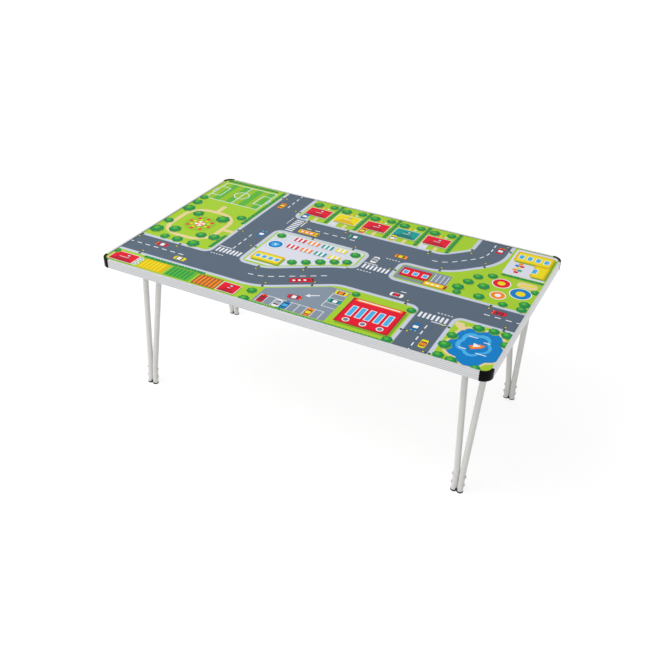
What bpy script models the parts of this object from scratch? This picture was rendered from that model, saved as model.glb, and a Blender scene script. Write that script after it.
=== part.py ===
"""Folding play table: a printed laminate top in a reeded metal edge frame, on two folding leg frames.

Units are metres and +Z is up. X runs along the table and Y across it. The origin lies on the floor
under the middle of the top. Each leg frame is a pair of bent tubes, riveted together at the feet. It
folds inwards about its inner cross tube, and its outer cross tube comes down out of two catches.
"""

import math

import bmesh
import bpy
from mathutils import Matrix, Vector

# Overall size, measured over the edge rails
LENGTH = 1.066
WIDTH = 0.610
HEIGHT = 0.436

# Clearances between separate pieces
GAP = 0.0003

# Top panel: a plywood core between a printed sheet and a plain backing sheet
CORE_THICKNESS = 0.0090
PRINT_THICKNESS = 0.0008
BACKING_THICKNESS = 0.0008

# Edge rail section: an outer wall with a lip over the print, a shelf under the panel and a foot flange
RAIL_HEIGHT = 0.0240
RAIL_WALL = 0.0016
RAIL_FLANGE = 0.0013
LIP_REACH = 0.0056
SHELF_REACH = 0.0120
FOOT_FLANGE_REACH = 0.0085
REED_COUNT = 9
REED_DEPTH = 0.00035
REED_MARGIN = 0.0014
REED_STEPS = 4

# Corner mouldings
CORNER_LEG = 0.0256
CORNER_RADIUS = 0.0250
CORNER_PROUD = 0.0006
CORNER_LIP = 0.0062
CORNER_WALL = 0.0032
CORNER_EDGE = 0.0007
SPIGOT_THICKNESS = 0.0042
SPIGOT_LENGTH = 0.0160
SPIGOT_ROOT = 0.0080

# Leg tubes. The insets run from the rails' outer faces to the tubes' centrelines.
TUBE_DIAMETER = 0.0159
TUBE_WALL = 0.0012
TUBE_SIDES = 12
FOOT_INSET_X = 0.0610
FOOT_INSET_Y = 0.0860
TOP_INSET_Y = 0.1287
PIVOT_INSET = 0.0950
CATCH_INSET = 0.0408
SPREAD_HEIGHT = 0.0580
SPREAD_RADIUS = 0.0600
CROSS_RADIUS = 0.0400

# Rivets through both tubes
RIVET_SHANK = 0.0048
RIVET_HEAD = 0.0082
RIVET_DOME = 0.0024
RIVET_HEIGHTS = {"low": 0.0225, "high": 0.0475}

# Feet
PAD_THICKNESS = 0.0032
PAD_MARGIN = 0.0007
PLUG_LENGTH = 0.0110
WEB_RISE = 0.0060
WEB_INNER = 0.0036
WEB_OUTER = 0.0066

# Saddles that the pivot tubes turn in
SADDLE_THICKNESS = 0.0015
SADDLE_WIDTH = 0.0200
SADDLE_EAR = 0.0130
SADDLE_FOLD = 0.0022
BEND_CLEARANCE = 0.0030

# Catches that hold the catch tubes
CATCH_WEB = 0.0015
CATCH_WALL = 0.0034
CATCH_TAPER = 0.0008
CATCH_FLANGE = 0.0030
CATCH_EAR = 0.0120
CATCH_WIDTH = 0.0220
CATCH_GRIP = 0.0030
CATCH_DEPTH = 0.0080
CATCH_FLARE = 0.0022

# Screws into the core
SCREW_SHANK = 0.0035
SCREW_TIP = 0.0021
SCREW_HEAD = 0.0072
SCREW_DOME = 0.0022
SCREW_BITE = 0.0060
SCREW_SIDES = 8

# Facets of round stretches
CORNER_STEPS = 6
ARCH_STEPS = 10
CROSS_STEPS = 8
SPREAD_STEPS = 2
FOLD_STEPS = 3
DOME_STEPS = 2
LOBE_STEPS = 14
WEB_STEPS = 2
WELD = 0.00001
OVERCUT = 0.0020

# Places and heights that follow from the sizes above
FOOT_X = LENGTH / 2 - FOOT_INSET_X
FOOT_Y = WIDTH / 2 - FOOT_INSET_Y
TOP_Y = WIDTH / 2 - TOP_INSET_Y
PIVOT_X = LENGTH / 2 - PIVOT_INSET
CATCH_X = LENGTH / 2 - CATCH_INSET
PRINT_TOP = HEIGHT - RAIL_FLANGE - GAP
CORE_TOP = PRINT_TOP - PRINT_THICKNESS - GAP
CORE_BOTTOM = CORE_TOP - CORE_THICKNESS
BACKING_TOP = CORE_BOTTOM - GAP
UNDERSIDE = BACKING_TOP - BACKING_THICKNESS
SHELF_TOP = UNDERSIDE - GAP
RAIL_BOTTOM = HEIGHT - RAIL_HEIGHT
TUBE_RADIUS = TUBE_DIAMETER / 2
TUBE_SPACING = TUBE_DIAMETER + GAP
PIVOT_Z = UNDERSIDE - GAP - TUBE_RADIUS
CATCH_Z = UNDERSIDE - 2 * GAP - CATCH_WEB - TUBE_RADIUS
LEG_LEAN = (FOOT_Y - TOP_Y) / PIVOT_Z
PANEL_INSET = RAIL_WALL + GAP

CORNERS = {
    "front_right": 0.0,
    "back_right": 0.5 * math.pi,
    "back_left": math.pi,
    "front_left": 1.5 * math.pi,
}
SIDES = {"front": 0.0, "right": 0.5 * math.pi, "back": math.pi, "left": 1.5 * math.pi}
ENDS = {"right": 0.0, "left": math.pi}
ACROSS = {"front": -1, "back": 1}


def clear_scene():
    for item in list(bpy.data.objects):
        bpy.data.objects.remove(item, do_unlink=True)


def make_collection(name):
    collection = bpy.data.collections.new(name)
    bpy.context.scene.collection.children.link(collection)
    return collection


def make_material(name, colour, roughness, metallic=0.0):
    material = bpy.data.materials.new(name)
    material.use_nodes = True
    shader = material.node_tree.nodes["Principled BSDF"]
    shader.inputs["Base Color"].default_value = (*colour, 1.0)
    shader.inputs["Roughness"].default_value = roughness
    shader.inputs["Metallic"].default_value = metallic
    return material


def add_object(name, mesh, material, place=None, parent=None):
    """Link a mesh as a piece of the table, at a place given in its parent's frame."""
    item = bpy.data.objects.new(name, mesh)
    TABLE.objects.link(item)
    mesh.materials.clear()
    mesh.materials.append(material)
    item.parent = parent
    item.matrix_basis = place if place is not None else Matrix.Identity(4)
    return item


def add_cutter(name, mesh, place=None, parent=None):
    """Link a mesh as a cutter, which is not part of the table."""
    item = bpy.data.objects.new(name, mesh)
    CUTTERS.objects.link(item)
    item.hide_render = True
    item.display_type = "WIRE"
    item.parent = parent
    item.matrix_basis = place if place is not None else Matrix.Identity(4)
    return item


def add_empty(name, location, turn=0.0):
    empty = bpy.data.objects.new(name, None)
    TABLE.objects.link(empty)
    empty.location = location
    empty.rotation_euler = (0.0, 0.0, turn)
    return empty


def curve_mesh(name, curve):
    """Turn a curve into a mesh with its caps welded and its faces pointing outwards."""
    guide = bpy.data.objects.new(name + "_guide", curve)
    bpy.context.scene.collection.objects.link(guide)
    depsgraph = bpy.context.evaluated_depsgraph_get()
    mesh = bpy.data.meshes.new_from_object(guide.evaluated_get(depsgraph))
    bpy.data.objects.remove(guide, do_unlink=True)
    bpy.data.curves.remove(curve)
    work = bmesh.new()
    work.from_mesh(mesh)
    bmesh.ops.remove_doubles(work, verts=work.verts, dist=WELD)
    bmesh.ops.recalc_face_normals(work, faces=work.faces)
    work.to_mesh(mesh)
    work.free()
    mesh.name = name
    return mesh


def poly_curve(name, points, cyclic, flat):
    curve = bpy.data.curves.new(name, "CURVE")
    curve.dimensions = "2D" if flat else "3D"
    spline = curve.splines.new("POLY")
    spline.points.add(len(points) - 1)
    for place, point in zip(spline.points, points):
        place.co = (*point, 0.0, 1.0) if flat else (*point, 1.0)
    spline.use_cyclic_u = cyclic
    return curve


def extruded_outline(name, outline, low, high):
    """Extrude a closed outline in local XY from one height to another."""
    curve = poly_curve(name, outline, True, True)
    curve.fill_mode = "BOTH"
    curve.extrude = (high - low) / 2
    mesh = curve_mesh(name, curve)
    mesh.transform(Matrix.Translation((0.0, 0.0, (low + high) / 2)))
    return mesh


def strip_mesh(name, path, width):
    """Make an open strip: a path in local XY, drawn out along Z by its width."""
    curve = poly_curve(name, path, False, True)
    curve.fill_mode = "NONE"
    curve.extrude = width / 2
    return curve_mesh(name, curve)


def tube_surface(name, path, radius, sides):
    """Make the open outer surface of a round tube along a path."""
    curve = poly_curve(name, path, False, False)
    curve.bevel_depth = radius
    curve.bevel_resolution = (sides - 4) // 2
    curve.use_fill_caps = False
    return curve_mesh(name, curve)


def cylinder_mesh(name, radius, low, high, sides):
    """Make a cylinder along local Z."""
    work = bmesh.new()
    bmesh.ops.create_cone(work, cap_ends=True, segments=sides, radius1=radius, radius2=radius,
                          depth=high - low, matrix=Matrix.Translation((0.0, 0.0, (low + high) / 2)))
    mesh = bpy.data.meshes.new(name)
    work.to_mesh(mesh)
    work.free()
    return mesh


def box_mesh(name, low, high):
    """Make a box between two corners."""
    size = Vector(high) - Vector(low)
    middle = (Vector(high) + Vector(low)) / 2
    work = bmesh.new()
    bmesh.ops.create_cube(work, size=1.0, matrix=Matrix.Translation(middle) @ Matrix.Diagonal((*size, 1.0)))
    mesh = bpy.data.meshes.new(name)
    work.to_mesh(mesh)
    work.free()
    return mesh


def joined_mesh(name, meshes):
    """Put several separate closed meshes into one, for a cutter that cuts in several places."""
    work = bmesh.new()
    for mesh in meshes:
        work.from_mesh(mesh)
        bpy.data.meshes.remove(mesh)
    whole = bpy.data.meshes.new(name)
    work.to_mesh(whole)
    work.free()
    return whole


def boolean(item, cutter, operation):
    modifier = item.modifiers.new(cutter.name, "BOOLEAN")
    modifier.operation = operation
    modifier.object = cutter
    modifier.solver = "EXACT"


def solidify(item, thickness, offset):
    modifier = item.modifiers.new("wall", "SOLIDIFY")
    modifier.thickness = thickness
    modifier.offset = offset


def smooth(item, angle=40.0):
    item.data.shade_smooth()
    item.data.set_sharp_from_angle(angle=math.radians(angle))


def arc(centre_x, centre_y, radius, start, end, steps):
    """Points along an arc, both ends included, with angles in radians."""
    points = []
    for step in range(steps + 1):
        angle = start + (end - start) * step / steps
        points.append((centre_x + radius * math.cos(angle), centre_y + radius * math.sin(angle)))
    return points


def rounded_rectangle(half_x, half_y, radius, steps):
    outline = []
    for quarter, (sign_x, sign_y) in enumerate(((1, 1), (-1, 1), (-1, -1), (1, -1))):
        start = quarter * 0.5 * math.pi
        outline += arc(sign_x * (half_x - radius), sign_y * (half_y - radius), radius,
                       start, start + 0.5 * math.pi, steps)
    return outline


def filleted(corners):
    """Round the inner points of a path. Each corner is a point, its fillet radius and its steps."""
    path = [Vector(corners[0][0])]
    for before, (point, radius, steps), after in zip(corners, corners[1:], corners[2:]):
        point = Vector(point)
        towards_before = (Vector(before[0]) - point).normalized()
        towards_after = (Vector(after[0]) - point).normalized()
        half = towards_before.angle(towards_after) / 2
        middle = (towards_before + towards_after).normalized()
        centre = point + middle * (radius / math.sin(half))
        start = point + towards_before * (radius / math.tan(half)) - centre
        end = point + towards_after * (radius / math.tan(half)) - centre
        sweep = start.angle(end)
        for step in range(steps + 1):
            part = step / steps
            blend = start * math.sin((1 - part) * sweep) + end * math.sin(part * sweep)
            path.append(centre + blend / math.sin(sweep))
    path.append(Vector(corners[-1][0]))
    return path


def panel_outline(inset):
    """The top's outline, set in from the rails' outer faces."""
    radius = CORNER_RADIUS - inset
    return rounded_rectangle(LENGTH / 2 - inset, WIDTH / 2 - inset, radius, CORNER_STEPS)


def screw_places():
    """Every screw's name and its place on the underside."""
    places = []
    for end, turn in ENDS.items():
        direction = math.cos(turn)
        for across, side in ACROSS.items():
            for kind, centre, reach, y in (("saddle", PIVOT_X, SADDLE_SCREW, SADDLE_Y),
                                           ("catch", CATCH_X, CATCH_SCREW, CATCH_Y)):
                for row, step in (("inner", -1), ("outer", 1)):
                    x = direction * (centre + step * reach)
                    places.append((f"{kind}_screw_{row}_{across}_{end}", kind, (x, side * y)))
    return places


def screw_hole_cutter():
    """One cutter for all the screw holes, from below the heads to the ends of the threads."""
    low = UNDERSIDE - SADDLE_THICKNESS - CATCH_FLANGE - OVERCUT
    high = CORE_BOTTOM + SCREW_BITE + GAP
    holes = []
    for name, _, (x, y) in screw_places():
        hole = cylinder_mesh(name + "_hole", SCREW_SHANK / 2 + GAP, low, high, SCREW_SIDES)
        hole.transform(Matrix.Translation((x, y, 0.0)))
        holes.append(hole)
    return add_cutter("screw_holes", joined_mesh("screw_holes", holes))


def build_panel():
    """The three layers of the top, bonded face to face on the real table."""
    outline = panel_outline(PANEL_INSET)
    print_mesh = extruded_outline("print_laminate", outline, PRINT_TOP - PRINT_THICKNESS, PRINT_TOP)
    core_mesh = extruded_outline("top_core", outline, CORE_BOTTOM, CORE_TOP)
    backing_mesh = extruded_outline("backing_laminate", outline, UNDERSIDE, BACKING_TOP)
    add_object("print_laminate", print_mesh, MATERIALS["print"])
    core = add_object("top_core", core_mesh, MATERIALS["plywood"])
    backing = add_object("backing_laminate", backing_mesh, MATERIALS["backing"])
    boolean(core, SCREW_HOLES, "DIFFERENCE")
    boolean(backing, SCREW_HOLES, "DIFFERENCE")


def rail_section():
    """The rail's outline: across it from its outer face, and up from its bottom."""
    reed_height = (RAIL_HEIGHT - 2 * REED_MARGIN) / REED_COUNT
    outline = [(0.0, RAIL_HEIGHT)]
    for step in range(REED_COUNT * REED_STEPS, -1, -1):
        depth = REED_DEPTH * (1 - abs(math.sin(math.pi * step / REED_STEPS)))
        outline.append((depth, REED_MARGIN + step * reed_height / REED_STEPS))
    shelf_top = SHELF_TOP - RAIL_BOTTOM
    outline += [
        (0.0, 0.0),
        (FOOT_FLANGE_REACH, 0.0),
        (FOOT_FLANGE_REACH, RAIL_FLANGE),
        (RAIL_WALL, RAIL_FLANGE),
        (RAIL_WALL, shelf_top - RAIL_FLANGE),
        (SHELF_REACH, shelf_top - RAIL_FLANGE),
        (SHELF_REACH, shelf_top),
        (RAIL_WALL, shelf_top),
        (RAIL_WALL, RAIL_HEIGHT - RAIL_FLANGE),
        (LIP_REACH, RAIL_HEIGHT - RAIL_FLANGE),
        (LIP_REACH, RAIL_HEIGHT),
    ]
    return outline


def build_rails():
    """Four lengths of one extrusion, cut square where the corner mouldings begin."""
    section = rail_section()
    upright = Matrix(((0, 0, 1, 0), (1, 0, 0, 0), (0, 1, 0, 0), (0, 0, 0, 1)))
    for side, turn in SIDES.items():
        along, across = (LENGTH, WIDTH) if side in ACROSS else (WIDTH, LENGTH)
        half = along / 2 - CORNER_LEG - GAP
        mesh = extruded_outline("rail_" + side, section, -half, half)
        place = Matrix.Rotation(turn, 4, "Z") @ Matrix.Translation((0.0, -across / 2, RAIL_BOTTOM)) @ upright
        add_object("rail_" + side, mesh, MATERIALS["aluminium"], place)


def corner_outline():
    """A corner moulding seen from above. The outer corner is at 0, 0 and the table lies at -X and +Y."""
    radius = CORNER_RADIUS
    outline = [(-CORNER_LEG, -CORNER_PROUD)]
    outline += arc(-radius, radius, radius + CORNER_PROUD, -0.5 * math.pi, 0.0, CORNER_STEPS)
    outline += [(CORNER_PROUD, CORNER_LEG), (-SHELF_REACH, CORNER_LEG)]
    outline += arc(-radius, radius, radius - SHELF_REACH, 0.0, -0.5 * math.pi, CORNER_STEPS)
    return outline + [(-CORNER_LEG, SHELF_REACH)]


def build_corners():
    """Moulded elbows. Each has a lip over the print, a slot and a shelf for the panel, and two spigots."""
    opening = add_cutter("print_opening", extruded_outline(
        "print_opening", panel_outline(CORNER_LIP), SHELF_TOP, HEIGHT + OVERCUT))
    pocket = add_cutter("panel_slot", extruded_outline(
        "panel_slot", panel_outline(RAIL_WALL), SHELF_TOP, HEIGHT - RAIL_FLANGE))
    shelf_bottom = SHELF_TOP - RAIL_FLANGE
    hollow = add_cutter("corner_hollow", extruded_outline(
        "corner_hollow", panel_outline(CORNER_WALL), RAIL_BOTTOM - OVERCUT, shelf_bottom))
    low = RAIL_BOTTOM - CORNER_PROUD
    high = HEIGHT + CORNER_PROUD
    spigot_low = RAIL_BOTTOM + RAIL_FLANGE + GAP
    spigot_high = shelf_bottom - GAP
    for name, turn in CORNERS.items():
        along, across = (LENGTH, WIDTH) if math.cos(2 * turn) > 0 else (WIDTH, LENGTH)
        place = Matrix.Rotation(turn, 4, "Z") @ Matrix.Translation((along / 2, -across / 2, 0.0))
        block = extruded_outline("corner_" + name, corner_outline(), low, high)
        moulding = add_object("corner_" + name, block, MATERIALS["corner_plastic"], place)
        edge = moulding.modifiers.new("edge", "BEVEL")
        edge.width = CORNER_EDGE
        edge.segments = 2
        edge.limit_method = "ANGLE"
        edge.angle_limit = math.radians(40.0)
        boolean(moulding, opening, "DIFFERENCE")
        boolean(moulding, pocket, "DIFFERENCE")
        boolean(moulding, hollow, "DIFFERENCE")
        reach = CORNER_LEG + SPIGOT_LENGTH
        root = CORNER_LEG - SPIGOT_ROOT
        inner = PANEL_INSET + SPIGOT_THICKNESS
        along_x = box_mesh(name + "_spigot_x", (-reach, PANEL_INSET, spigot_low),
                           (-root, inner, spigot_high))
        along_y = box_mesh(name + "_spigot_y", (-inner, root, spigot_low),
                           (-PANEL_INSET, reach, spigot_high))
        boolean(moulding, add_cutter(name + "_spigot_x", along_x, place), "UNION")
        boolean(moulding, add_cutter(name + "_spigot_y", along_y, place), "UNION")


def leg_y(z):
    """How far from the middle the leg tubes' centrelines lie at a height."""
    return FOOT_Y - LEG_LEAN * z


def leg_axis(side):
    """The direction of the parallel stretch of the tubes above a foot."""
    return Vector((0.0, -side * LEG_LEAN, 1.0)).normalized()


def leg_path(offset, top_x, top_z):
    """Centreline of one bent tube of the right-hand frame, from the front foot to the back foot."""
    start = Vector((FOOT_X + offset, -FOOT_Y, 0.0)) + leg_axis(-1) * (PAD_THICKNESS + GAP)
    spread = (FOOT_X + offset, -leg_y(SPREAD_HEIGHT), SPREAD_HEIGHT)
    top = (top_x, -leg_y(top_z), top_z)
    front = [(start, 0.0, 1), (spread, SPREAD_RADIUS, SPREAD_STEPS), (top, CROSS_RADIUS, CROSS_STEPS)]
    back = [((x, -y, z), radius, steps) for (x, y, z), radius, steps in reversed(front)]
    return filleted(front + back)


def build_leg_frame(end, turn):
    """Two bent tubes, four rivets and two feet, hung on an empty on the frame's pivot axis."""
    direction = math.cos(turn)
    pivot = add_empty("leg_pivot_" + end, (direction * PIVOT_X, 0.0, PIVOT_Z), turn)
    to_pivot = Matrix.Translation((-PIVOT_X, 0.0, -PIVOT_Z))
    holes = []
    rivet_places = []
    for across, side in ACROSS.items():
        across_here = across if direction > 0 else {"front": "back", "back": "front"}[across]
        for level, z in RIVET_HEIGHTS.items():
            place = to_pivot @ Matrix.Translation((FOOT_X, side * leg_y(z), z)) @ TURN_TO_X
            rivet_places.append((f"rivet_{level}_{across_here}_{end}", place))
            hole = cylinder_mesh("rivet_hole", RIVET_SHANK / 2 + GAP, -TUBE_SPACING - OVERCUT,
                                 TUBE_SPACING + OVERCUT, SCREW_SIDES)
            hole.transform(place)
            holes.append(hole)
    rivet_holes = add_cutter("rivet_holes_" + end, joined_mesh("rivet_holes_" + end, holes), None, pivot)
    for kind, offset, top_x, top_z in (("pivot_tube_", -TUBE_SPACING / 2, PIVOT_X, PIVOT_Z),
                                       ("catch_tube_", TUBE_SPACING / 2, CATCH_X, CATCH_Z)):
        mesh = tube_surface(kind + end, leg_path(offset, top_x, top_z), TUBE_RADIUS, TUBE_SIDES)
        tube = add_object(kind + end, mesh, MATERIALS["leg_coating"], to_pivot, pivot)
        solidify(tube, TUBE_WALL, -1.0)
        boolean(tube, rivet_holes, "DIFFERENCE")
        smooth(tube)
    for name, place in rivet_places:
        build_rivet(name, place, pivot)
    for across, side in ACROSS.items():
        across_here = across if direction > 0 else {"front": "back", "back": "front"}[across]
        build_foot(f"foot_{across_here}_{end}", side, to_pivot, pivot)


def turned_piece(name, profile, sides, material, place, parent=None):
    """Turn a profile of radius and height pairs, listed from the top down, about local Z."""
    mesh = bpy.data.meshes.new(name)
    work = bmesh.new()
    rows = [work.verts.new((radius, 0.0, height)) for radius, height in profile]
    for first, second in zip(rows, rows[1:]):
        work.edges.new((first, second))
    work.to_mesh(mesh)
    work.free()
    item = add_object(name, mesh, material, place, parent)
    screw = item.modifiers.new("turn", "SCREW")
    screw.axis = "Z"
    screw.steps = sides
    screw.render_steps = sides
    screw.use_merge_vertices = True
    screw.merge_threshold = WELD
    return item


def dome(radius, height, base, up):
    """Radius and height pairs of a low dome, from its tip to its rim."""
    pairs = []
    for step in range(DOME_STEPS + 1):
        angle = 0.5 * math.pi * step / DOME_STEPS
        pairs.append((radius * math.sin(angle), base + up * height * math.cos(angle)))
    return pairs


def build_rivet(name, place, parent):
    """A rivet with a domed head on both sides of the pair of tubes."""
    seat = TUBE_SPACING / 2 + TUBE_RADIUS + GAP
    shank = RIVET_SHANK / 2
    profile = dome(RIVET_HEAD / 2, RIVET_DOME, seat, 1)
    profile += [(shank, seat), (shank, -seat)]
    profile += reversed(dome(RIVET_HEAD / 2, RIVET_DOME, -seat, -1))
    turned_piece(name, profile, SCREW_SIDES, MATERIALS["rivet_steel"], place, parent)


def foot_outline():
    """A foot seen from above: a round lobe under each tube, which meet in a waist."""
    radius = TUBE_RADIUS + PAD_MARGIN
    half = TUBE_SPACING / 2
    waist = math.acos(half / radius)
    return (arc(half, 0.0, radius, waist - math.pi, math.pi - waist, LOBE_STEPS)
            + arc(-half, 0.0, radius, waist, 2 * math.pi - waist, LOBE_STEPS)[1:-1])


def web_outline(side):
    """The web that fills the notch between two touching tubes, on their -Y or +Y side."""
    edge = []
    for step in range(WEB_STEPS + 1):
        y = WEB_INNER + (WEB_OUTER - WEB_INNER) * step / WEB_STEPS
        edge.append((TUBE_SPACING / 2 - math.sqrt((TUBE_RADIUS + GAP) ** 2 - y ** 2), side * y))
    return edge + [(-x, y) for x, y in reversed(edge)]


def build_foot(name, side, to_pivot, pivot):
    """A twin foot: two lobes flat on the floor, a plug up inside each tube and two webs between the tubes."""
    half = TUBE_SPACING / 2
    lean = Matrix.Rotation(side * math.atan(LEG_LEAN), 4, "X")
    place = to_pivot @ Matrix.Translation((FOOT_X, side * FOOT_Y, 0.0)) @ lean
    pad = add_object(name, extruded_outline(name, foot_outline(), -PAD_THICKNESS, PAD_THICKNESS),
                     MATERIALS["foot_rubber"], place, pivot)
    for web, web_side in ACROSS.items():
        mesh = extruded_outline(name + "_web", web_outline(web_side), 0.0, PAD_THICKNESS + WEB_RISE)
        boolean(pad, add_cutter(f"{name}_web_{web}", mesh, place, pivot), "UNION")
    for plug, x in (("inner", -half), ("outer", half)):
        mesh = cylinder_mesh(name + "_plug", TUBE_RADIUS - TUBE_WALL - GAP, 0.0,
                             PAD_THICKNESS + PLUG_LENGTH, ARCH_STEPS)
        mesh.transform(Matrix.Translation((x, 0.0, 0.0)))
        boolean(pad, add_cutter(f"{name}_plug_{plug}", mesh, place, pivot), "UNION")
    boolean(pad, FLOOR, "DIFFERENCE")


def strap_path():
    """A saddle's centreline about its tube: an ear, round under the tube, and the other ear."""
    radius = TUBE_RADIUS + GAP + SADDLE_THICKNESS / 2
    ear = TUBE_RADIUS - SADDLE_THICKNESS / 2
    reach = radius + SADDLE_EAR
    left = filleted([((-reach, ear, 0.0), 0.0, 1), ((-radius, ear, 0.0), SADDLE_FOLD, FOLD_STEPS),
                     ((-radius, 0.0, 0.0), 0.0, 1)])
    path = [(point.x, point.y) for point in left[:-1]]
    path += arc(0.0, 0.0, radius, math.pi, 2 * math.pi, ARCH_STEPS)
    path += [(-x, y) for x, y in reversed(path[:len(left) - 1])]
    return path


def catch_outline():
    """A catch seen along its tube, about the tube's axis: two ears and two walls round an open slot."""
    slot = TUBE_RADIUS + GAP
    top = slot + CATCH_WEB
    under_ear = top - CATCH_FLANGE
    wall = slot + CATCH_WALL
    half = [
        (wall + CATCH_EAR, top),
        (wall + CATCH_EAR, under_ear),
        (wall, under_ear),
        (wall - CATCH_TAPER + CATCH_FLARE, -CATCH_DEPTH),
        (slot + CATCH_FLARE, -CATCH_DEPTH),
        (slot, -CATCH_GRIP),
    ]
    return half + arc(0.0, 0.0, slot, 0.0, math.pi, ARCH_STEPS) + [(-x, z) for x, z in reversed(half)]


def build_brackets():
    """Saddles for the pivot tubes and catches for the catch tubes, with their screws."""
    across_y = Matrix(((1, 0, 0, 0), (0, 0, -1, 0), (0, 1, 0, 0), (0, 0, 0, 1)))
    for end, turn in ENDS.items():
        direction = math.cos(turn)
        for across, side in ACROSS.items():
            name = f"saddle_{across}_{end}"
            place = Matrix.Translation((direction * PIVOT_X, side * SADDLE_Y, PIVOT_Z)) @ across_y
            saddle = add_object(name, strip_mesh(name, strap_path(), SADDLE_WIDTH),
                                MATERIALS["zinc_plate"], place)
            solidify(saddle, SADDLE_THICKNESS, 0.0)
            boolean(saddle, SCREW_HOLES, "DIFFERENCE")
            smooth(saddle)
            name = f"catch_{across}_{end}"
            place = Matrix.Translation((direction * CATCH_X, side * CATCH_Y, CATCH_Z)) @ across_y
            mesh = extruded_outline(name, catch_outline(), -CATCH_WIDTH / 2, CATCH_WIDTH / 2)
            catch = add_object(name, mesh, MATERIALS["nylon"], place)
            boolean(catch, SCREW_HOLES, "DIFFERENCE")
    for name, kind, (x, y) in screw_places():
        clamped = SADDLE_THICKNESS if kind == "saddle" else CATCH_FLANGE
        build_screw(name, (x, y, UNDERSIDE - GAP - clamped - GAP))


def build_screw(name, seat):
    """A pan-head screw that points up, with the flat of its head at the seat's height."""
    length = CORE_BOTTOM + SCREW_BITE - seat[2]
    shank = SCREW_SHANK / 2
    profile = [(0.0, length), (SCREW_TIP / 2, length - shank), (shank, length - 2 * shank), (shank, 0.0)]
    profile += reversed(dome(SCREW_HEAD / 2, SCREW_DOME, 0.0, -1))
    turned_piece(name, profile, SCREW_SIDES, MATERIALS["screw_steel"], Matrix.Translation(seat))


def cross_straight():
    """Half the straight length of a pivot tube's cross run, between its two bends."""
    leg = Vector((FOOT_X - TUBE_SPACING / 2 - PIVOT_X, -LEG_LEAN * (PIVOT_Z - SPREAD_HEIGHT),
                  SPREAD_HEIGHT - PIVOT_Z))
    half = leg.angle(Vector((0.0, 1.0, 0.0))) / 2
    return leg_y(PIVOT_Z) - CROSS_RADIUS / math.tan(half)


clear_scene()
TABLE = make_collection("play_table")
CUTTERS = make_collection("cutters")
MATERIALS = {
    "print": make_material("print", (0.13, 0.17, 0.21), 0.30),
    "plywood": make_material("plywood", (0.50, 0.34, 0.19), 0.65),
    "backing": make_material("backing", (0.62, 0.62, 0.60), 0.45),
    "aluminium": make_material("aluminium", (0.66, 0.66, 0.67), 0.32, 1.0),
    "corner_plastic": make_material("corner_plastic", (0.012, 0.012, 0.014), 0.35),
    "leg_coating": make_material("leg_coating", (0.58, 0.58, 0.58), 0.38, 0.3),
    "rivet_steel": make_material("rivet_steel", (0.60, 0.60, 0.60), 0.30, 1.0),
    "foot_rubber": make_material("foot_rubber", (0.03, 0.03, 0.035), 0.75),
    "zinc_plate": make_material("zinc_plate", (0.55, 0.56, 0.58), 0.35, 1.0),
    "nylon": make_material("nylon", (0.02, 0.02, 0.02), 0.50),
    "screw_steel": make_material("screw_steel", (0.55, 0.56, 0.58), 0.30, 1.0),
}
TURN_TO_X = Matrix.Rotation(0.5 * math.pi, 4, "Y")
SADDLE_Y = cross_straight() - BEND_CLEARANCE - SADDLE_WIDTH / 2
CATCH_Y = cross_straight() - BEND_CLEARANCE - CATCH_WIDTH / 2
SADDLE_SCREW = TUBE_RADIUS + GAP + SADDLE_THICKNESS + SADDLE_EAR / 2
CATCH_SCREW = TUBE_RADIUS + GAP + CATCH_WALL + CATCH_EAR / 2
SCREW_HOLES = screw_hole_cutter()
FLOOR = add_cutter("floor", box_mesh("floor", (-LENGTH, -WIDTH, -HEIGHT), (LENGTH, WIDTH, 0.0)))
build_panel()
build_rails()
build_corners()
for frame_end, frame_turn in ENDS.items():
    build_leg_frame(frame_end, frame_turn)
build_brackets()
bpy.context.view_layer.update()
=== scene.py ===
"""The finished surfaces of a folding play table, made round its solid model.

Units are metres and +Z is up. X runs along the table, Y across it, and the floor is at height 0.
"""

import math

import bpy
import numpy as np
from mathutils import Matrix, Vector
from mathutils.geometry import delaunay_2d_cdt


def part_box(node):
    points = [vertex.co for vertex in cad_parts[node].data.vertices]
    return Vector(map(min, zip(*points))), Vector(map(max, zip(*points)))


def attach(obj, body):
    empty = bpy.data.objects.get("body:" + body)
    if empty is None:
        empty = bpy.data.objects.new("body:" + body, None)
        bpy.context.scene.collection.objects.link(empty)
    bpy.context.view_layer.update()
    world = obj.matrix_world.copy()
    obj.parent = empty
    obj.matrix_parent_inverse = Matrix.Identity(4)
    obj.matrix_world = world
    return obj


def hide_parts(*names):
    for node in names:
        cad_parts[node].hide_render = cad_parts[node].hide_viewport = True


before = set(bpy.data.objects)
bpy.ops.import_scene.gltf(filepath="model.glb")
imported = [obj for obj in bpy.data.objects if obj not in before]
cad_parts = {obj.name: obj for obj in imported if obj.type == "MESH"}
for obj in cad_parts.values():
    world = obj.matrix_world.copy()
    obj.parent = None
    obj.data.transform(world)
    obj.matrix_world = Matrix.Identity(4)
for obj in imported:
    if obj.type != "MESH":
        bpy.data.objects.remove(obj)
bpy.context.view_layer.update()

# Sizes of the solid model that its boxes don't give
GAP = 0.0003
RAIL_WALL = 0.0016
RAIL_FLANGE = 0.0013
LIP_REACH = 0.0056
SHELF_REACH = 0.0120
FOOT_FLANGE_REACH = 0.0085
CORNER_LEG = 0.0256
CORNER_RADIUS = 0.0250
CORNER_PROUD = 0.0006
CORNER_LIP = 0.0062
CORNER_WALL = 0.0032
SPIGOT_THICKNESS = 0.0042
SPIGOT_LENGTH = 0.0160
TUBE_RADIUS = 0.00795
TUBE_WALL = 0.0012
FOOT_INSET_Y = 0.0860
TOP_INSET_Y = 0.1287
SPREAD_HEIGHT = 0.0580
SPREAD_RADIUS = 0.0600
CROSS_RADIUS = 0.0400
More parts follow.
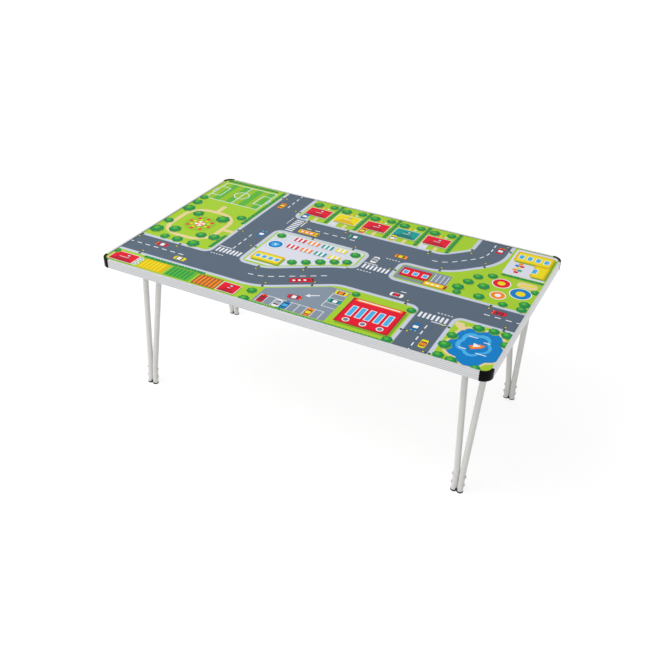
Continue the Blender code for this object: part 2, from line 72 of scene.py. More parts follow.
RIVET_RADIUS = 0.0041
RIVET_SHANK = 0.0024
RIVET_DOME = 0.0024
RIVET_HEIGHTS = {"low": 0.0225, "high": 0.0475}
PAD_THICKNESS = 0.0032
PAD_MARGIN = 0.0007
PLUG_LENGTH = 0.0110
WEB_RISE = 0.0060
WEB_INNER = 0.0036
WEB_OUTER = 0.0066
SADDLE_THICKNESS = 0.0015
SADDLE_WIDTH = 0.0200
SADDLE_EAR = 0.0130
SADDLE_FOLD = 0.0022
CATCH_WEB = 0.0015
CATCH_WALL = 0.0034
CATCH_TAPER = 0.0008
CATCH_FLANGE = 0.0030
CATCH_EAR = 0.0120
CATCH_WIDTH = 0.0220
CATCH_GRIP = 0.0030
CATCH_DEPTH = 0.0080
CATCH_FLARE = 0.0022
SCREW_SHANK = 0.00175
SCREW_HEAD = 0.0036
SCREW_DOME = 0.0022

# Finer sizes, which only the finished surfaces have
REED_COUNT = 5
REED_DEPTH = 0.00035
REED_START = 0.2
SPIGOT_ROOT = 0.0080
SPIGOT_LEAD = 0.0010
SPIGOT_TIP = 0.7
PLUG_LEAD = 0.0010
RECESS_BAR = 0.00050
RECESS_SLOPE = 0.00025
RECESS_REACH = 0.0021
RECESS_FADE = 0.0007
RECESS_DEPTH = 0.0013
SADDLE_EDGE = 0.0003
CATCH_EDGE = 0.0005
# How far a moulded edge is drawn in
EASE = 0.0004
# How much a rail is darkened, where 1 is the painted shade in the groove between two reeds
# A thin grey film on the plain faces
PLAIN_FILM = 0.4
# Painted shade on the lip's step down to the print
STEP_SHADE = 2.0

# Sizes and places read from the solid model
LENGTH = 2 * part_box("rail_right")[1].x
WIDTH = 2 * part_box("rail_back")[1].y
RAIL_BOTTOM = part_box("rail_front")[0].z
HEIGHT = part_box("rail_front")[1].z
PRINT_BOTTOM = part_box("print_laminate")[0].z
PRINT_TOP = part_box("print_laminate")[1].z
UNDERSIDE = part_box("backing_laminate")[0].z
SHELF_TOP = UNDERSIDE - GAP
RAIL_HEIGHT = HEIGHT - RAIL_BOTTOM
PIVOT_X = sum(corner.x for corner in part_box("saddle_front_right")) / 2
CATCH_X = sum(corner.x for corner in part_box("catch_front_right")) / 2
SADDLE_Y = sum(corner.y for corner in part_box("saddle_back_right")) / 2
CATCH_Y = sum(corner.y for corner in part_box("catch_back_right")) / 2
FOOT_X = sum(corner.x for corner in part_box("foot_front_right")) / 2
FOOT_Y = WIDTH / 2 - FOOT_INSET_Y
TOP_Y = WIDTH / 2 - TOP_INSET_Y
PIVOT_Z = UNDERSIDE - GAP - TUBE_RADIUS
CATCH_Z = UNDERSIDE - 2 * GAP - CATCH_WEB - TUBE_RADIUS
LEG_LEAN = (FOOT_Y - TOP_Y) / PIVOT_Z
TUBE_SPACING = 2 * TUBE_RADIUS + GAP

# Fineness of round stretches
ARC_STEPS = 6
CORNER_STEPS = 24
REED_STEPS = 20
BEND_STEPS = 20
TUBE_SIDES = 48
TURN_SIDES = 32
LOBE_STEPS = 40
WEB_STEPS = 6
DOME_STEPS = 8
HEAD_RINGS = 25
HEAD_SIDES = 64
# Where the small flat that closes a head ends: a rivet's in radians, a screw's as a share of its radius
DOME_START = 0.06
HEAD_START = 0.04
# How many degrees an edge turns by at least, if it is shaded sharp or rounded by a bevel
SHARP_ANGLE = 35.0
BEVEL_ANGLE = 40.0

X_WAY, Y_WAY, UP = np.eye(3)
# Turns that bring a piece made at the front, the front right or the right to its own place
SIDES = {"front": 0.0, "right": 0.5 * math.pi, "back": math.pi, "left": 1.5 * math.pi}
CORNERS = {"front_right": 0.0, "back_right": 0.5 * math.pi, "back_left": math.pi, "front_left": 1.5 * math.pi}
ENDS = {"right": 0.0, "left": math.pi}
# Which way along Y the front and the back lie
ACROSS = {"front": -1, "back": 1}


# Shapes as arrays of points

def unit(vectors):
    """Vectors scaled to a length of 1."""
    return vectors / np.linalg.norm(vectors, axis=-1, keepdims=True)


def headings(path):
    """A path's direction at each point: halfway between the steps that meet there."""
    steps = unit(np.diff(path, axis=0))
    return unit(np.concatenate([steps[:1], steps[:-1] + steps[1:], steps[-1:]]))


def rounded(points, radii, steps=ARC_STEPS):
    """A path whose inner points are rounded, in two or three dimensions.

    At each inner point the arc's centre lies on the bisector, radius / sin(half angle) away. The arc
    turns between the two points where it touches the path, radius / tan(half angle) from the corner.
    """
    points = np.array(points, float)
    inner = points[1:-1]
    radii = np.broadcast_to(radii, len(inner))[:, None]
    back = unit(points[:-2] - inner)
    ahead = unit(points[2:] - inner)
    half = np.arccos(np.sum(back * ahead, axis=1, keepdims=True)) / 2
    centre = inner + unit(back + ahead) * radii / np.sin(half)
    first = inner + back * radii / np.tan(half) - centre
    last = inner + ahead * radii / np.tan(half) - centre
    sweep = (math.pi - 2 * half)[:, None]
    part = np.linspace(0, 1, steps + 1)[None, :, None]
    arcs = first[:, None] * np.sin((1 - part) * sweep) + last[:, None] * np.sin(part * sweep)
    arcs = arcs / np.sin(sweep) + centre[:, None]
    return np.concatenate([points[:1], arcs.reshape(-1, points.shape[1]), points[-1:]])


def filleted(*rows):
    """An outline from rows of a point in metres and its rounding in mm. Its two ends stay sharp."""
    rows = np.array(rows)
    return rounded(rows[:, :2], rows[1:-1, 2] / 1000)


def rounded_box(half_x, half_y, radius, steps=ARC_STEPS):
    """A rectangle about 0, 0 with rounded corners, from the middle of its lower side round."""
    corners = [(0.0, -half_y), (half_x, -half_y), (half_x, half_y), (-half_x, half_y), (-half_x, -half_y)]
    return rounded(corners + corners[:1], radius, steps)[:-1]


def circle(sides):
    """Points of a unit circle: the cosine and sine of equal angles."""
    angle = np.arange(sides) * 2 * math.pi / sides
    return np.stack([np.cos(angle), np.sin(angle)], axis=1)


def arc(centre, radius, start, end, steps):
    """Points of an arc about a centre, both ends included."""
    angle = np.linspace(start, end, steps + 1)
    return np.array(centre) + radius * np.stack([np.cos(angle), np.sin(angle)], axis=1)


def mirrored(half):
    """Half an outline and its mirror image across the second axis, as one."""
    return np.concatenate([half, half[::-1] * [-1.0, 1.0]])


def lifted(flat, z=0.0):
    """Points of a level plane put at a height."""
    return np.insert(flat, 2, z, axis=1)


def turned(points, angle):
    """Points turned about the table's upright middle line."""
    cosine, sine = math.cos(angle), math.sin(angle)
    return points @ np.array([[cosine, sine, 0.0], [-sine, cosine, 0.0], [0.0, 0.0, 1.0]])


def outward(points, faces):
    """Turn a closed shell's faces over where it holds a negative volume.

    The volume is a sixth of the sum of a . (b x c) over the triangles of its faces.
    """
    fan = np.array([(face[0], *pair) for face in faces for pair in zip(face[1:], face[2:])])
    first, second, third = points[fan.T]
    if np.sum(first * np.cross(second, third)) < 0:
        faces = [face[::-1] for face in faces]
    return points, faces


def closed_shell(rows, ring=False):
    """A shell from rows of points that each run round: quads join every row to the next.

    Flat ends close it, unless it is a ring, whose last row joins its first.
    """
    number = np.arange(rows.shape[0] * rows.shape[1]).reshape(rows.shape[:2])
    after = np.roll(number, -1, axis=1)
    quads = np.stack([number, after, np.roll(after, -1, axis=0), np.roll(number, -1, axis=0)], axis=-1)
    faces = (quads if ring else quads[:-1]).reshape(-1, 4).tolist()
    if not ring:
        faces += [number[0, ::-1].tolist(), number[-1].tolist()]
    return outward(rows.reshape(-1, 3), faces)


def swept(section, origins, across, up, ring=False):
    """A closed section carried along a path: each point is origin + u * across + v * up.

    The section and the two directions are given once for the whole path, or for each of its points.
    """
    section, origins, across, up = (np.asarray(given, float) for given in (section, origins, across, up))
    rows = origins[:, None] + section[..., :1] * across[..., None, :] + section[..., 1:] * up[..., None, :]
    return closed_shell(rows, ring)


def lathed(profile, centre, axis, across, up):
    """A profile of radius and height pairs turned about an axis: each row is a circle of that radius."""
    profile = np.array(profile)
    return swept(profile[:, :1, None] * circle(TURN_SIDES), centre + profile[:, 1:] * axis, across, up)


def joined(shells):
    """Several closed shells as one list of points and one of faces."""
    starts = np.cumsum([0] + [len(points) for points, _ in shells])
    faces = [[start + corner for corner in face] for start, (_, part) in zip(starts, shells) for face in part]
    return np.concatenate([points for points, _ in shells]), faces


def make_piece(name, shell, finish, slot, body, *nodes):
    """Put a shell in a mesh of its own, in place of the solid nodes that it stands for."""
    points, faces = shell
    mesh = bpy.data.meshes.new(name)
    mesh.from_pydata(points.tolist(), [], faces)
    mesh.shade_smooth()
    mesh.set_sharp_from_angle(angle=math.radians(SHARP_ANGLE))
    mesh.materials.append(FINISHES[finish])
    piece = bpy.data.objects.new(name, mesh)
    bpy.context.scene.collection.objects.link(piece)
    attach(piece, body)
    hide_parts(*nodes)
    return piece


def bevel(piece, width, segments):
    """Round a piece's sharp edges."""
    modifier = piece.modifiers.new("edge", "BEVEL")
    modifier.width = width
    modifier.segments = segments
    modifier.limit_method = "ANGLE"
    modifier.angle_limit = math.radians(BEVEL_ANGLE)


# Finishes

def linear(code):
    """A colour written as sRGB hex, as the linear numbers that a shader takes."""
    parts = np.array([int(code[place:place + 2], 16) for place in (1, 3, 5)]) / 255
    parts = np.where(parts <= 0.04045, parts / 12.92, ((parts + 0.055) / 1.055) ** 2.4)
    return (*parts.tolist(), 1.0)


def add(tree, kind, inputs=None, **settings):
    """Add one node with its settings. An input is a plain value or another node's output."""
    node = tree.nodes.new("ShaderNode" + kind)
    for name, value in settings.items():
        setattr(node, name, value)
    for name, value in (inputs or {}).items():
        if isinstance(value, bpy.types.NodeSocket):
            tree.links.new(value, node.inputs[name])
        else:
            node.inputs[name].default_value = value
    return node


def new_finish(name, colour, roughness, metallic=0.0, **sockets):
    """A material with its constants on its shader's own sockets. Returns it, its tree and its shader."""
    finish = bpy.data.materials.new(name)
    finish.use_nodes = True
    tree = finish.node_tree
    shader = tree.nodes["Principled BSDF"]
    shader.inputs["Base Color"].default_value = linear(colour)
    shader.inputs["Roughness"].default_value = roughness
    shader.inputs["Metallic"].default_value = metallic
    for socket, value in sockets.items():
        shader.inputs[socket.replace("_", " ")].default_value = value
    return finish, tree, shader


def grains(tree, size_mm, detail=2.0, stretch=(1.0, 1.0, 1.0)):
    """A pattern of grains about size_mm across, drawn out along an axis by a stretch above 1.

    Real die lines, mould grain and powder are too fine to show, so they are drawn as coarse as they need to
    show from near by. Clouds, mottle and veneers have their real sizes.
    """
    place = add(tree, "TexCoord").outputs["Object"]
    scale = tuple(1000.0 / size_mm / way for way in stretch)
    place = add(tree, "Mapping", {"Vector": place, "Scale": scale}).outputs["Vector"]
    return add(tree, "TexNoise", {"Vector": place, "Scale": 1.0, "Detail": detail}).outputs["Fac"]


def between(tree, pattern, low, high):
    """A value between two numbers or two hex colours, led by a pattern over its usual range, 0.3 to 0.7."""
    colours = isinstance(low, str)
    start, end = (0.0, 1.0) if colours else (low, high)
    inputs = {"Value": pattern, "From Min": 0.3, "From Max": 0.7, "To Min": start, "To Max": end}
    share = add(tree, "MapRange", inputs).outputs["Result"]
    if not colours:
        return share
    return add(tree, "Mix", {0: share, 6: linear(low), 7: linear(high)}, data_type="RGBA").outputs[2]


def texture(tree, shader, relief, tones=None, satin=None):
    """Let patterns lead a shader's surface.

    Relief is a pattern and the height in mm that it raises, tones a pattern and two hex colours, and satin
    a pattern and two roughnesses.
    """
    for socket, led in (("Base Color", tones), ("Roughness", satin)):
        if led:
            tree.links.new(between(tree, *led), shader.inputs[socket])
    pattern, height = relief
    bump = add(tree, "Bump", {"Height": pattern, "Distance": height / 1000.0})
    tree.links.new(bump.outputs["Normal"], shader.inputs["Normal"])


def mill_aluminium(name, along):
    """Extruded aluminium, left as it comes from the die: a satin metal with fine lines along its length.

    A thin grey film dulls it, and painted shade darkens the grooves between the reeds into fine dark lines
    and darkens the lip's step.
    """
    finish, tree, shader = new_finish(name, "#DBDCDE", 0.34, 1.0)
    lines = grains(tree, 0.5, 3.0, [400.0 if way == along else 1.0 for way in "XYZ"])
    clouds = grains(tree, 60.0, 3.0, [6.0 if way == along else 1.0 for way in "XYZ"])
    texture(tree, shader, (lines, 0.012), satin=(clouds, 0.28, 0.42))
    # Painted shade in the grooves and on the lip's step, and the grey film, dim the metal's colour
    film_and_shade = add(tree, "Attribute", attribute_name="film_and_shade").outputs["Fac"]
    shine = add(tree, "MapRange", {"Value": film_and_shade, "To Min": 1.0, "To Max": 0.7}, clamp=False)
    inputs = {"Color": between(tree, lines, "#CED0D3", "#DFE0E2"), "Value": shine.outputs["Result"]}
    tree.links.new(add(tree, "HueSaturation", inputs).outputs["Color"], shader.inputs["Base Color"])
    return finish


def moulded_plastic(name, colour, light, roughness, shine):
    """Moulded black plastic: nearly black, with a soft gloss broken by the mould's fine grain."""
    finish, tree, shader = new_finish(name, colour, roughness, Specular_IOR_Level=shine)
    flow = grains(tree, 14.0, 3.0)
    texture(tree, shader, (grains(tree, 0.35), 0.008), (flow, colour, light),
            (flow, roughness - 0.05, roughness + 0.07))
    return finish


def powder_coat():
    """Baked powder on steel tube: pale silver grey, satin, with a soft orange-peel surface."""
    finish, tree, shader = new_finish("powder_coat", "#D8D7D4", 0.36, 0.1)
    texture(tree, shader, (grains(tree, 1.6, 1.0), 0.02), (grains(tree, 0.25, 1.0), "#D3D2CF", "#DDDCD9"),
            (grains(tree, 25.0), 0.32, 0.42))
    return finish


def plated_steel(name, colour, light, size_mm):
    """Steel plated with zinc or nickel: a bright metal, cloudy where its crystals catch the light."""
    finish, tree, shader = new_finish(name, colour, 0.3, 1.0)
    clouds = grains(tree, size_mm, 3.0)
    texture(tree, shader, (grains(tree, 0.3), 0.004), (clouds, colour, light), (clouds, 0.36, 0.24))
    return finish


def rubber():
    """Moulded rubber: dark, matt, with a dusty bloom where it is handled."""
    finish, tree, shader = new_finish("rubber", "#1B1B1D", 0.72, Specular_IOR_Level=0.35)
    texture(tree, shader, (grains(tree, 0.5), 0.02), (grains(tree, 6.0, 4.0), "#151517", "#26262A"))
    return finish


def balancing_laminate():
    """The pale backing sheet under the top: a matt laminate with the faint mottle of its paper."""
    finish, tree, shader = new_finish("balancing_laminate", "#D9D8D2", 0.5, Specular_IOR_Level=0.4)
    mottle = grains(tree, 3.0, 5.0, (1.8, 1.0, 1.0))
    grit = grains(tree, 0.6)
    texture(tree, shader, (grit, 0.01), (mottle, "#D1D0C9", "#E0DFDA"), (grit, 0.44, 0.58))
    return finish


def plywood():
    """Poplar plywood: pale straw veneers with long grain, turned from one layer to the next."""
    finish, tree, shader = new_finish("plywood", "#C9A674", 0.65)
    grain = grains(tree, 1.2, 4.0, (40.0, 1.0, 1.0))
    layers = grains(tree, 1.5, 0.0, (1000.0, 1000.0, 1.0))
    both = add(tree, "Math", {0: grain, 1: layers, 2: 0.25}, operation="MULTIPLY_ADD").outputs[0]
    texture(tree, shader, (grain, 0.05), (both, "#A98352", "#DCC092"))
    return finish


def printed_laminate():
    """A print under a clear melamine coat: flat inks, faint paper fibres and an even satin shine."""
    finish, tree, shader = new_finish("printed_laminate", "#FFFFFF", 0.46, Specular_IOR_Level=0.06)
    texture(tree, shader, (grains(tree, 1.1, 1.0), 0.006), satin=(grains(tree, 40.0, 3.0), 0.42, 0.5))
    ink = add(tree, "VertexColor", layer_name="ink").outputs["Color"]
    fibres = between(tree, grains(tree, 0.9, 4.0, (2.5, 1.0, 1.0)), 0.965, 1.03)
    shade = add(tree, "HueSaturation", {"Color": ink, "Value": fibres})
    tree.links.new(shade.outputs["Color"], shader.inputs["Base Color"])
    return finish


FINISHES = {
    "rail_x": mill_aluminium("mill_aluminium_lengthways", "X"),
    "rail_y": mill_aluminium("mill_aluminium_crossways", "Y"),
    "corner": moulded_plastic("gloss_abs", "#020204", "#06060A", 0.15, 0.06),
    "tube": powder_coat(),
    "rivet": plated_steel("nickel_plated_steel", "#B4B3B0", "#CFCECB", 2.0),
    "strap": plated_steel("zinc_plated_steel", "#AEB3B8", "#CDD1D4", 4.0),
    "screw": plated_steel("zinc_plated_screw", "#B3B6B9", "#D3D5D7", 1.5),
    "foot": rubber(),
    "catch": moulded_plastic("nylon", "#131314", "#1D1D1F", 0.45, 0.35),
    "backing": balancing_laminate(),
    "core": plywood(),
    "print": printed_laminate(),
}


# The edge frame

def rail_section():
    """The extrusion's outline, across it from its outer face and up from its bottom, and its film and painted
    shade.

    The outer wall is a row of reeds: its depth is REED_DEPTH * (1 - |cos(pi * reeds from the bottom)|), so
    that half a reed lies at its top and at its bottom. Painted shade in the grooves grows with the depth, a
    thin grey film lies on the plain faces, and painted shade is darkest on the lip's step down to the print.
    """
    steps = round((REED_COUNT - 2 * REED_START) * REED_STEPS)
    reeds = np.linspace(REED_COUNT - REED_START, REED_START, steps + 1)
    depth = REED_DEPTH * (1 - np.abs(np.cos(math.pi * reeds)))
    wall = np.stack([depth, reeds * RAIL_HEIGHT / REED_COUNT], axis=1)
    shelf_top = SHELF_TOP - RAIL_BOTTOM
    shelf_bottom = shelf_top - RAIL_FLANGE
    lip_bottom = RAIL_HEIGHT - RAIL_FLANGE
    rest = filleted(
        (*wall[-1], 0.0), (0.0, 0.0, 0.4), (FOOT_FLANGE_REACH, 0.0, 0.3),
        (FOOT_FLANGE_REACH, RAIL_FLANGE, 0.3), (RAIL_WALL, RAIL_FLANGE, 0.5), (RAIL_WALL, shelf_bottom, 0.5),
        (SHELF_REACH, shelf_bottom, 0.3), (SHELF_REACH, shelf_top, 0.3), (RAIL_WALL, shelf_top, 0.2),
        (RAIL_WALL, lip_bottom, 0.2), (LIP_REACH, lip_bottom, 0.3), (LIP_REACH, RAIL_HEIGHT, 0.45),
        (0.0, RAIL_HEIGHT, 0.5), (*wall[0], 0.0))
    # The lip's step takes the darkest painted shade, and the reeds take painted shade by their depth
    on_step = (np.abs(rest[:, 0] - LIP_REACH) < 0.00005) & (rest[:, 1] > lip_bottom)
    film_and_shade = np.concatenate([np.where(on_step, STEP_SHADE, PLAIN_FILM), depth[1:-1] / REED_DEPTH])
    return np.concatenate([rest, wall[1:-1]]), film_and_shade


def make_rails():
    """A straight length of the extrusion on each side, between the two corner mouldings."""
    section, film_and_shade = rail_section()
    for side, turn in SIDES.items():
        along, across = (LENGTH, WIDTH) if side in ACROSS else (WIDTH, LENGTH)
        half = along / 2 - CORNER_LEG - GAP
        ends = [(way * half, -across / 2, RAIL_BOTTOM) for way in (-1, 1)]
        points, faces = swept(section, ends, Y_WAY, UP)
        rail = make_piece("edge_rail_" + side, (turned(points, turn), faces),
                          "rail_x" if side in ACROSS else "rail_y", "aluminium", "table_top", "rail_" + side)
        # Each point's grey film and painted shade, for the finish to read
        rail.data.attributes.new("film_and_shade", "FLOAT", "POINT").data.foreach_set("value", np.tile(film_and_shade, 2))


def corner_section():
    """The corner moulding's outline, across it from the rails' outer face, at its real heights."""
    low, high = RAIL_BOTTOM - CORNER_PROUD, HEIGHT + CORNER_PROUD
    shelf_bottom = SHELF_TOP - RAIL_FLANGE
    lip_bottom = HEIGHT - RAIL_FLANGE
    start = (-CORNER_PROUD, (low + high) / 2, 0.0)
    return filleted(
        start, (-CORNER_PROUD, low, 0.9), (CORNER_WALL, low, 0.5), (CORNER_WALL, shelf_bottom, 0.6),
        (SHELF_REACH, shelf_bottom, 0.3), (SHELF_REACH, SHELF_TOP, 0.3), (RAIL_WALL, SHELF_TOP, 0.2),
        (RAIL_WALL, lip_bottom, 0.2), (CORNER_LIP, lip_bottom, 0.3), (CORNER_LIP, high, 0.7),
        (-CORNER_PROUD, high, 1.1), start)[:-1]


def corner_elbow():
    """The section carried round a quarter circle, with its two ends drawn in to soften their edges.

    Seen from above, the table's corner is at 0, 0 and the table lies at -X and +Y.
    """
    section = corner_section()
    along = np.array([0.0, 0.3, 1.0]) * EASE
    first = np.column_stack([along - CORNER_LEG, 0 * along])
    bend = arc((-CORNER_RADIUS, CORNER_RADIUS), CORNER_RADIUS, -0.5 * math.pi, 0.0, CORNER_STEPS)
    path = np.concatenate([first, bend, -first[::-1, ::-1]])
    round_part = -arc((0.0, 0.0), 1.0, -0.5 * math.pi, 0.0, CORNER_STEPS)
    inwards = np.concatenate([round_part[:1].repeat(3, 0), round_part, round_part[-1:].repeat(3, 0)])
    drawn_in = np.concatenate([EASE - along, np.zeros(len(bend)), EASE - along[::-1]])[:, None]
    u = np.maximum(section[:, 0], drawn_in - CORNER_PROUD)
    v = np.clip(section[:, 1], RAIL_BOTTOM - CORNER_PROUD + drawn_in, HEIGHT + CORNER_PROUD - drawn_in)
    return swept(np.stack([u, v], axis=-1), lifted(path), lifted(inwards), UP)


def spigots():
    """The two bars that hold the rails: each starts inside the corner moulding and ends in a short taper."""
    low, high = RAIL_BOTTOM + RAIL_FLANGE + GAP, SHELF_TOP - RAIL_FLANGE - GAP
    outer, inner = RAIL_WALL + GAP, RAIL_WALL + GAP + SPIGOT_THICKNESS
    whole = np.array([[outer, low], [inner, low], [inner, high], [outer, high]])
    middle = whole.mean(axis=0)
    sections = np.array([whole, whole, middle + (whole - middle) * SPIGOT_TIP])
    places = CORNER_LEG + np.array([[-SPIGOT_ROOT], [SPIGOT_LENGTH - SPIGOT_LEAD], [SPIGOT_LENGTH]])
    return [swept(sections, -places * X_WAY, Y_WAY, UP), swept(sections, places * Y_WAY, -X_WAY, UP)]


def make_corners():
    """An elbow with its spigots, moved out to each corner of the table."""
    points, faces = joined([corner_elbow()] + spigots())
    for name, turn in CORNERS.items():
        along, across = (LENGTH, WIDTH) if math.cos(2 * turn) > 0 else (WIDTH, LENGTH)
        placed = turned(points + [along / 2, -across / 2, 0.0], turn)
        make_piece("corner_moulding_" + name, (placed, faces), "corner", "corner_plastic", "table_top",
                   "corner_" + name)


# The leg frames

def leg_y(z):
    """How far from the middle the legs' centrelines lie at a height."""
    return FOOT_Y - LEG_LEAN * z


def leg_ways(side):
    """The directions of a leg's foot: along the leg, and across it in the leg's own plane."""
    lean = side * math.atan(LEG_LEAN)
    return np.array([0.0, -math.sin(lean), math.cos(lean)]), np.array([0.0, math.cos(lean), math.sin(lean)])


def bent_tube(offset, top_x, top_z):
    """A tube bent at four places, from the front foot up, across and down to the back foot.

    The outside is a circle carried along the path from foot to foot, and the bore is a smaller circle
    carried back again, so the two make one closed ring. Across is the part of X that is square to the path,
    and up is square to both.
    """
    start = np.array([FOOT_X + offset, -FOOT_Y, 0.0]) + leg_ways(-1)[0] * (PAD_THICKNESS + GAP)
    front = [start, (FOOT_X + offset, -leg_y(SPREAD_HEIGHT), SPREAD_HEIGHT), (top_x, -leg_y(top_z), top_z)]
    back = [(x, -y, z) for x, y, z in reversed(front)]
    path = rounded(front + back, [SPREAD_RADIUS, CROSS_RADIUS, CROSS_RADIUS, SPREAD_RADIUS], BEND_STEPS)
    ahead = headings(path)
    across = unit(X_WAY - ahead * ahead[:, :1])
    up = np.cross(ahead, across)
    radii = np.repeat([TUBE_RADIUS, TUBE_RADIUS - TUBE_WALL], len(path))[:, None, None]
    there_and_back = np.concatenate([np.arange(len(path)), np.arange(len(path))[::-1]])
    return swept(radii * circle(TUBE_SIDES), path[there_and_back], across[there_and_back],
                 up[there_and_back], ring=True)


def lobes(inset):
    """A foot's outline from above: two circles a tube's spacing apart, drawn in by an inset."""
    radius = TUBE_RADIUS + PAD_MARGIN - inset
    half = TUBE_SPACING / 2
    waist = math.acos(half / radius)
    right = arc((half, 0.0), radius, waist - math.pi, math.pi - waist, LOBE_STEPS)
    left = arc((-half, 0.0), radius, waist, 2 * math.pi - waist, LOBE_STEPS)
    return np.concatenate([right, left[1:-1]])


def foot_shells(side):
    """A pad with two round lobes, a web in each notch between the tubes, and a plug up each tube.

    The pad's rows of lobes lie level near the floor and square to the leg near the tubes.
    """
    along, across = leg_ways(side)
    place = np.array([FOOT_X, side * FOOT_Y, 0.0])
    inset = EASE * np.array([1.0, 0.3, 0.0])
    rise = (EASE - inset)[:, None]
    pad = np.array([lobes(step) for step in (*inset, *inset[::-1])])
    from_floor = (rise - pad[:3, :, 1] * across[2]) / along[2]
    from_tubes = np.broadcast_to(PAD_THICKNESS - rise[::-1], from_floor.shape)
    height = np.concatenate([from_floor, from_tubes])[..., None]
    shells = [closed_shell(place + pad[..., :1] * X_WAY + pad[..., 1:] * across + height * along)]

    y = np.linspace(WEB_INNER, WEB_OUTER, WEB_STEPS + 1)
    x = TUBE_SPACING / 2 - np.sqrt((TUBE_RADIUS + GAP) ** 2 - y ** 2)
    web = mirrored(np.stack([x, y], axis=1))
    middle = web.mean(axis=0)
    # Each row's depth below the web's top, and its share of the web's size
    below, share = np.array([(WEB_RISE, 1.0), (0.0010, 1.0), (0.0003, 0.92), (0.0, 0.7)]).T[..., None]
    sections = middle + (web - middle) * share[..., None]
    origins = place + (PAD_THICKNESS + WEB_RISE - below) * along
    shells += [swept(sections * [1.0, notch], origins, X_WAY, across) for notch in (-1.0, 1.0)]

    bore = TUBE_RADIUS - TUBE_WALL - GAP
    top = PAD_THICKNESS + PLUG_LENGTH
    plug = [(bore, PAD_THICKNESS), (bore, top - PLUG_LEAD), (bore - PLUG_LEAD, top)]
    for half in (-TUBE_SPACING / 2, TUBE_SPACING / 2):
        shells.append(lathed(plug, place + half * X_WAY, along, X_WAY, across))
    return shells


def rivet_shell(side, z):
    """A rivet through both tubes: a low dome on a thin rim at each end of its shank."""
    seat = TUBE_SPACING / 2 + TUBE_RADIUS + GAP
    angle = np.linspace(DOME_START, 0.5 * math.pi, DOME_STEPS + 1)
    dome = [RIVET_RADIUS * np.sin(angle), seat + EASE + (RIVET_DOME - EASE) * np.cos(angle)]
    half = np.concatenate([np.stack(dome, axis=1), [(RIVET_RADIUS, seat), (RIVET_SHANK, seat)]])
    profile = np.concatenate([half, half[::-1] * [1.0, -1.0]])
    return lathed(profile, (FOOT_X, side * leg_y(z), z), X_WAY, Y_WAY, UP)


def make_leg_frame(end, turn):
    """The two tubes, the rivets and the feet of one leg frame."""
    body = end + "_leg_frame"

    def place(name, shell, finish, slot, node):
        """Put a piece of the right-hand frame at this end."""
        make_piece(name, (turned(shell[0], turn), shell[1]), finish, slot, body, node)

    for kind, offset, top_x, top_z in (("pivot_tube_", -TUBE_SPACING / 2, PIVOT_X, PIVOT_Z),
                                       ("catch_tube_", TUBE_SPACING / 2, CATCH_X, CATCH_Z)):
        place("bent_" + kind + end, bent_tube(offset, top_x, top_z), "tube", "leg_coating", kind + end)
    for across, side in ACROSS.items():
        here = across if end == "right" else {"front": "back", "back": "front"}[across]
        name = f"foot_{here}_{end}"
        place("twin_" + name, joined(foot_shells(side)), "foot", "foot_rubber", name)
        for level, z in RIVET_HEIGHTS.items():
            name = f"rivet_{level}_{here}_{end}"
            place("domed_" + name, rivet_shell(side, z), "rivet", "rivet_steel", name)


# Saddles, catches and screws under the top

def saddle_shell(x, y):
    """A strap of rounded section carried along an ear, round under the tube and along the other ear."""
    radius = TUBE_RADIUS + GAP + SADDLE_THICKNESS / 2
    ear = TUBE_RADIUS - SADDLE_THICKNESS / 2
    reach = radius + SADDLE_EAR
    side = rounded([(-reach, ear), (-radius, ear), (-radius, 0.0)], SADDLE_FOLD)[:-1]
    path = np.concatenate([side, arc((0.0, 0.0), radius, math.pi, 2 * math.pi, 2 * BEND_STEPS),
                           side[::-1] * [-1.0, 1.0]])
    origins = np.insert(path + [x, PIVOT_Z], 1, y, axis=1)
    normals = np.insert(headings(path)[:, ::-1] * [-1.0, 1.0], 1, 0.0, axis=1)
    return swept(rounded_box(SADDLE_THICKNESS / 2, SADDLE_WIDTH / 2, EASE), origins, normals, Y_WAY)


def catch_shell(x, y):
    """A moulding of one outline drawn out along its tube: two ears and two walls round an open slot."""
    slot = TUBE_RADIUS + GAP
    top = slot + CATCH_WEB
    wall = slot + CATCH_WALL
    half = np.array([
        (wall + CATCH_EAR, top), (wall + CATCH_EAR, top - CATCH_FLANGE), (wall, top - CATCH_FLANGE),
        (wall - CATCH_TAPER + CATCH_FLARE, -CATCH_DEPTH), (slot + CATCH_FLARE, -CATCH_DEPTH),
        (slot, -CATCH_GRIP),
    ])
    bore = arc((0.0, 0.0), slot, 0.0, math.pi, 2 * BEND_STEPS)
    outline = np.concatenate([half, bore, half[::-1] * [-1.0, 1.0]])
    ends = [(x, y + way * CATCH_WIDTH / 2, CATCH_Z) for way in (-1, 1)]
    return swept(outline, ends, X_WAY, UP)


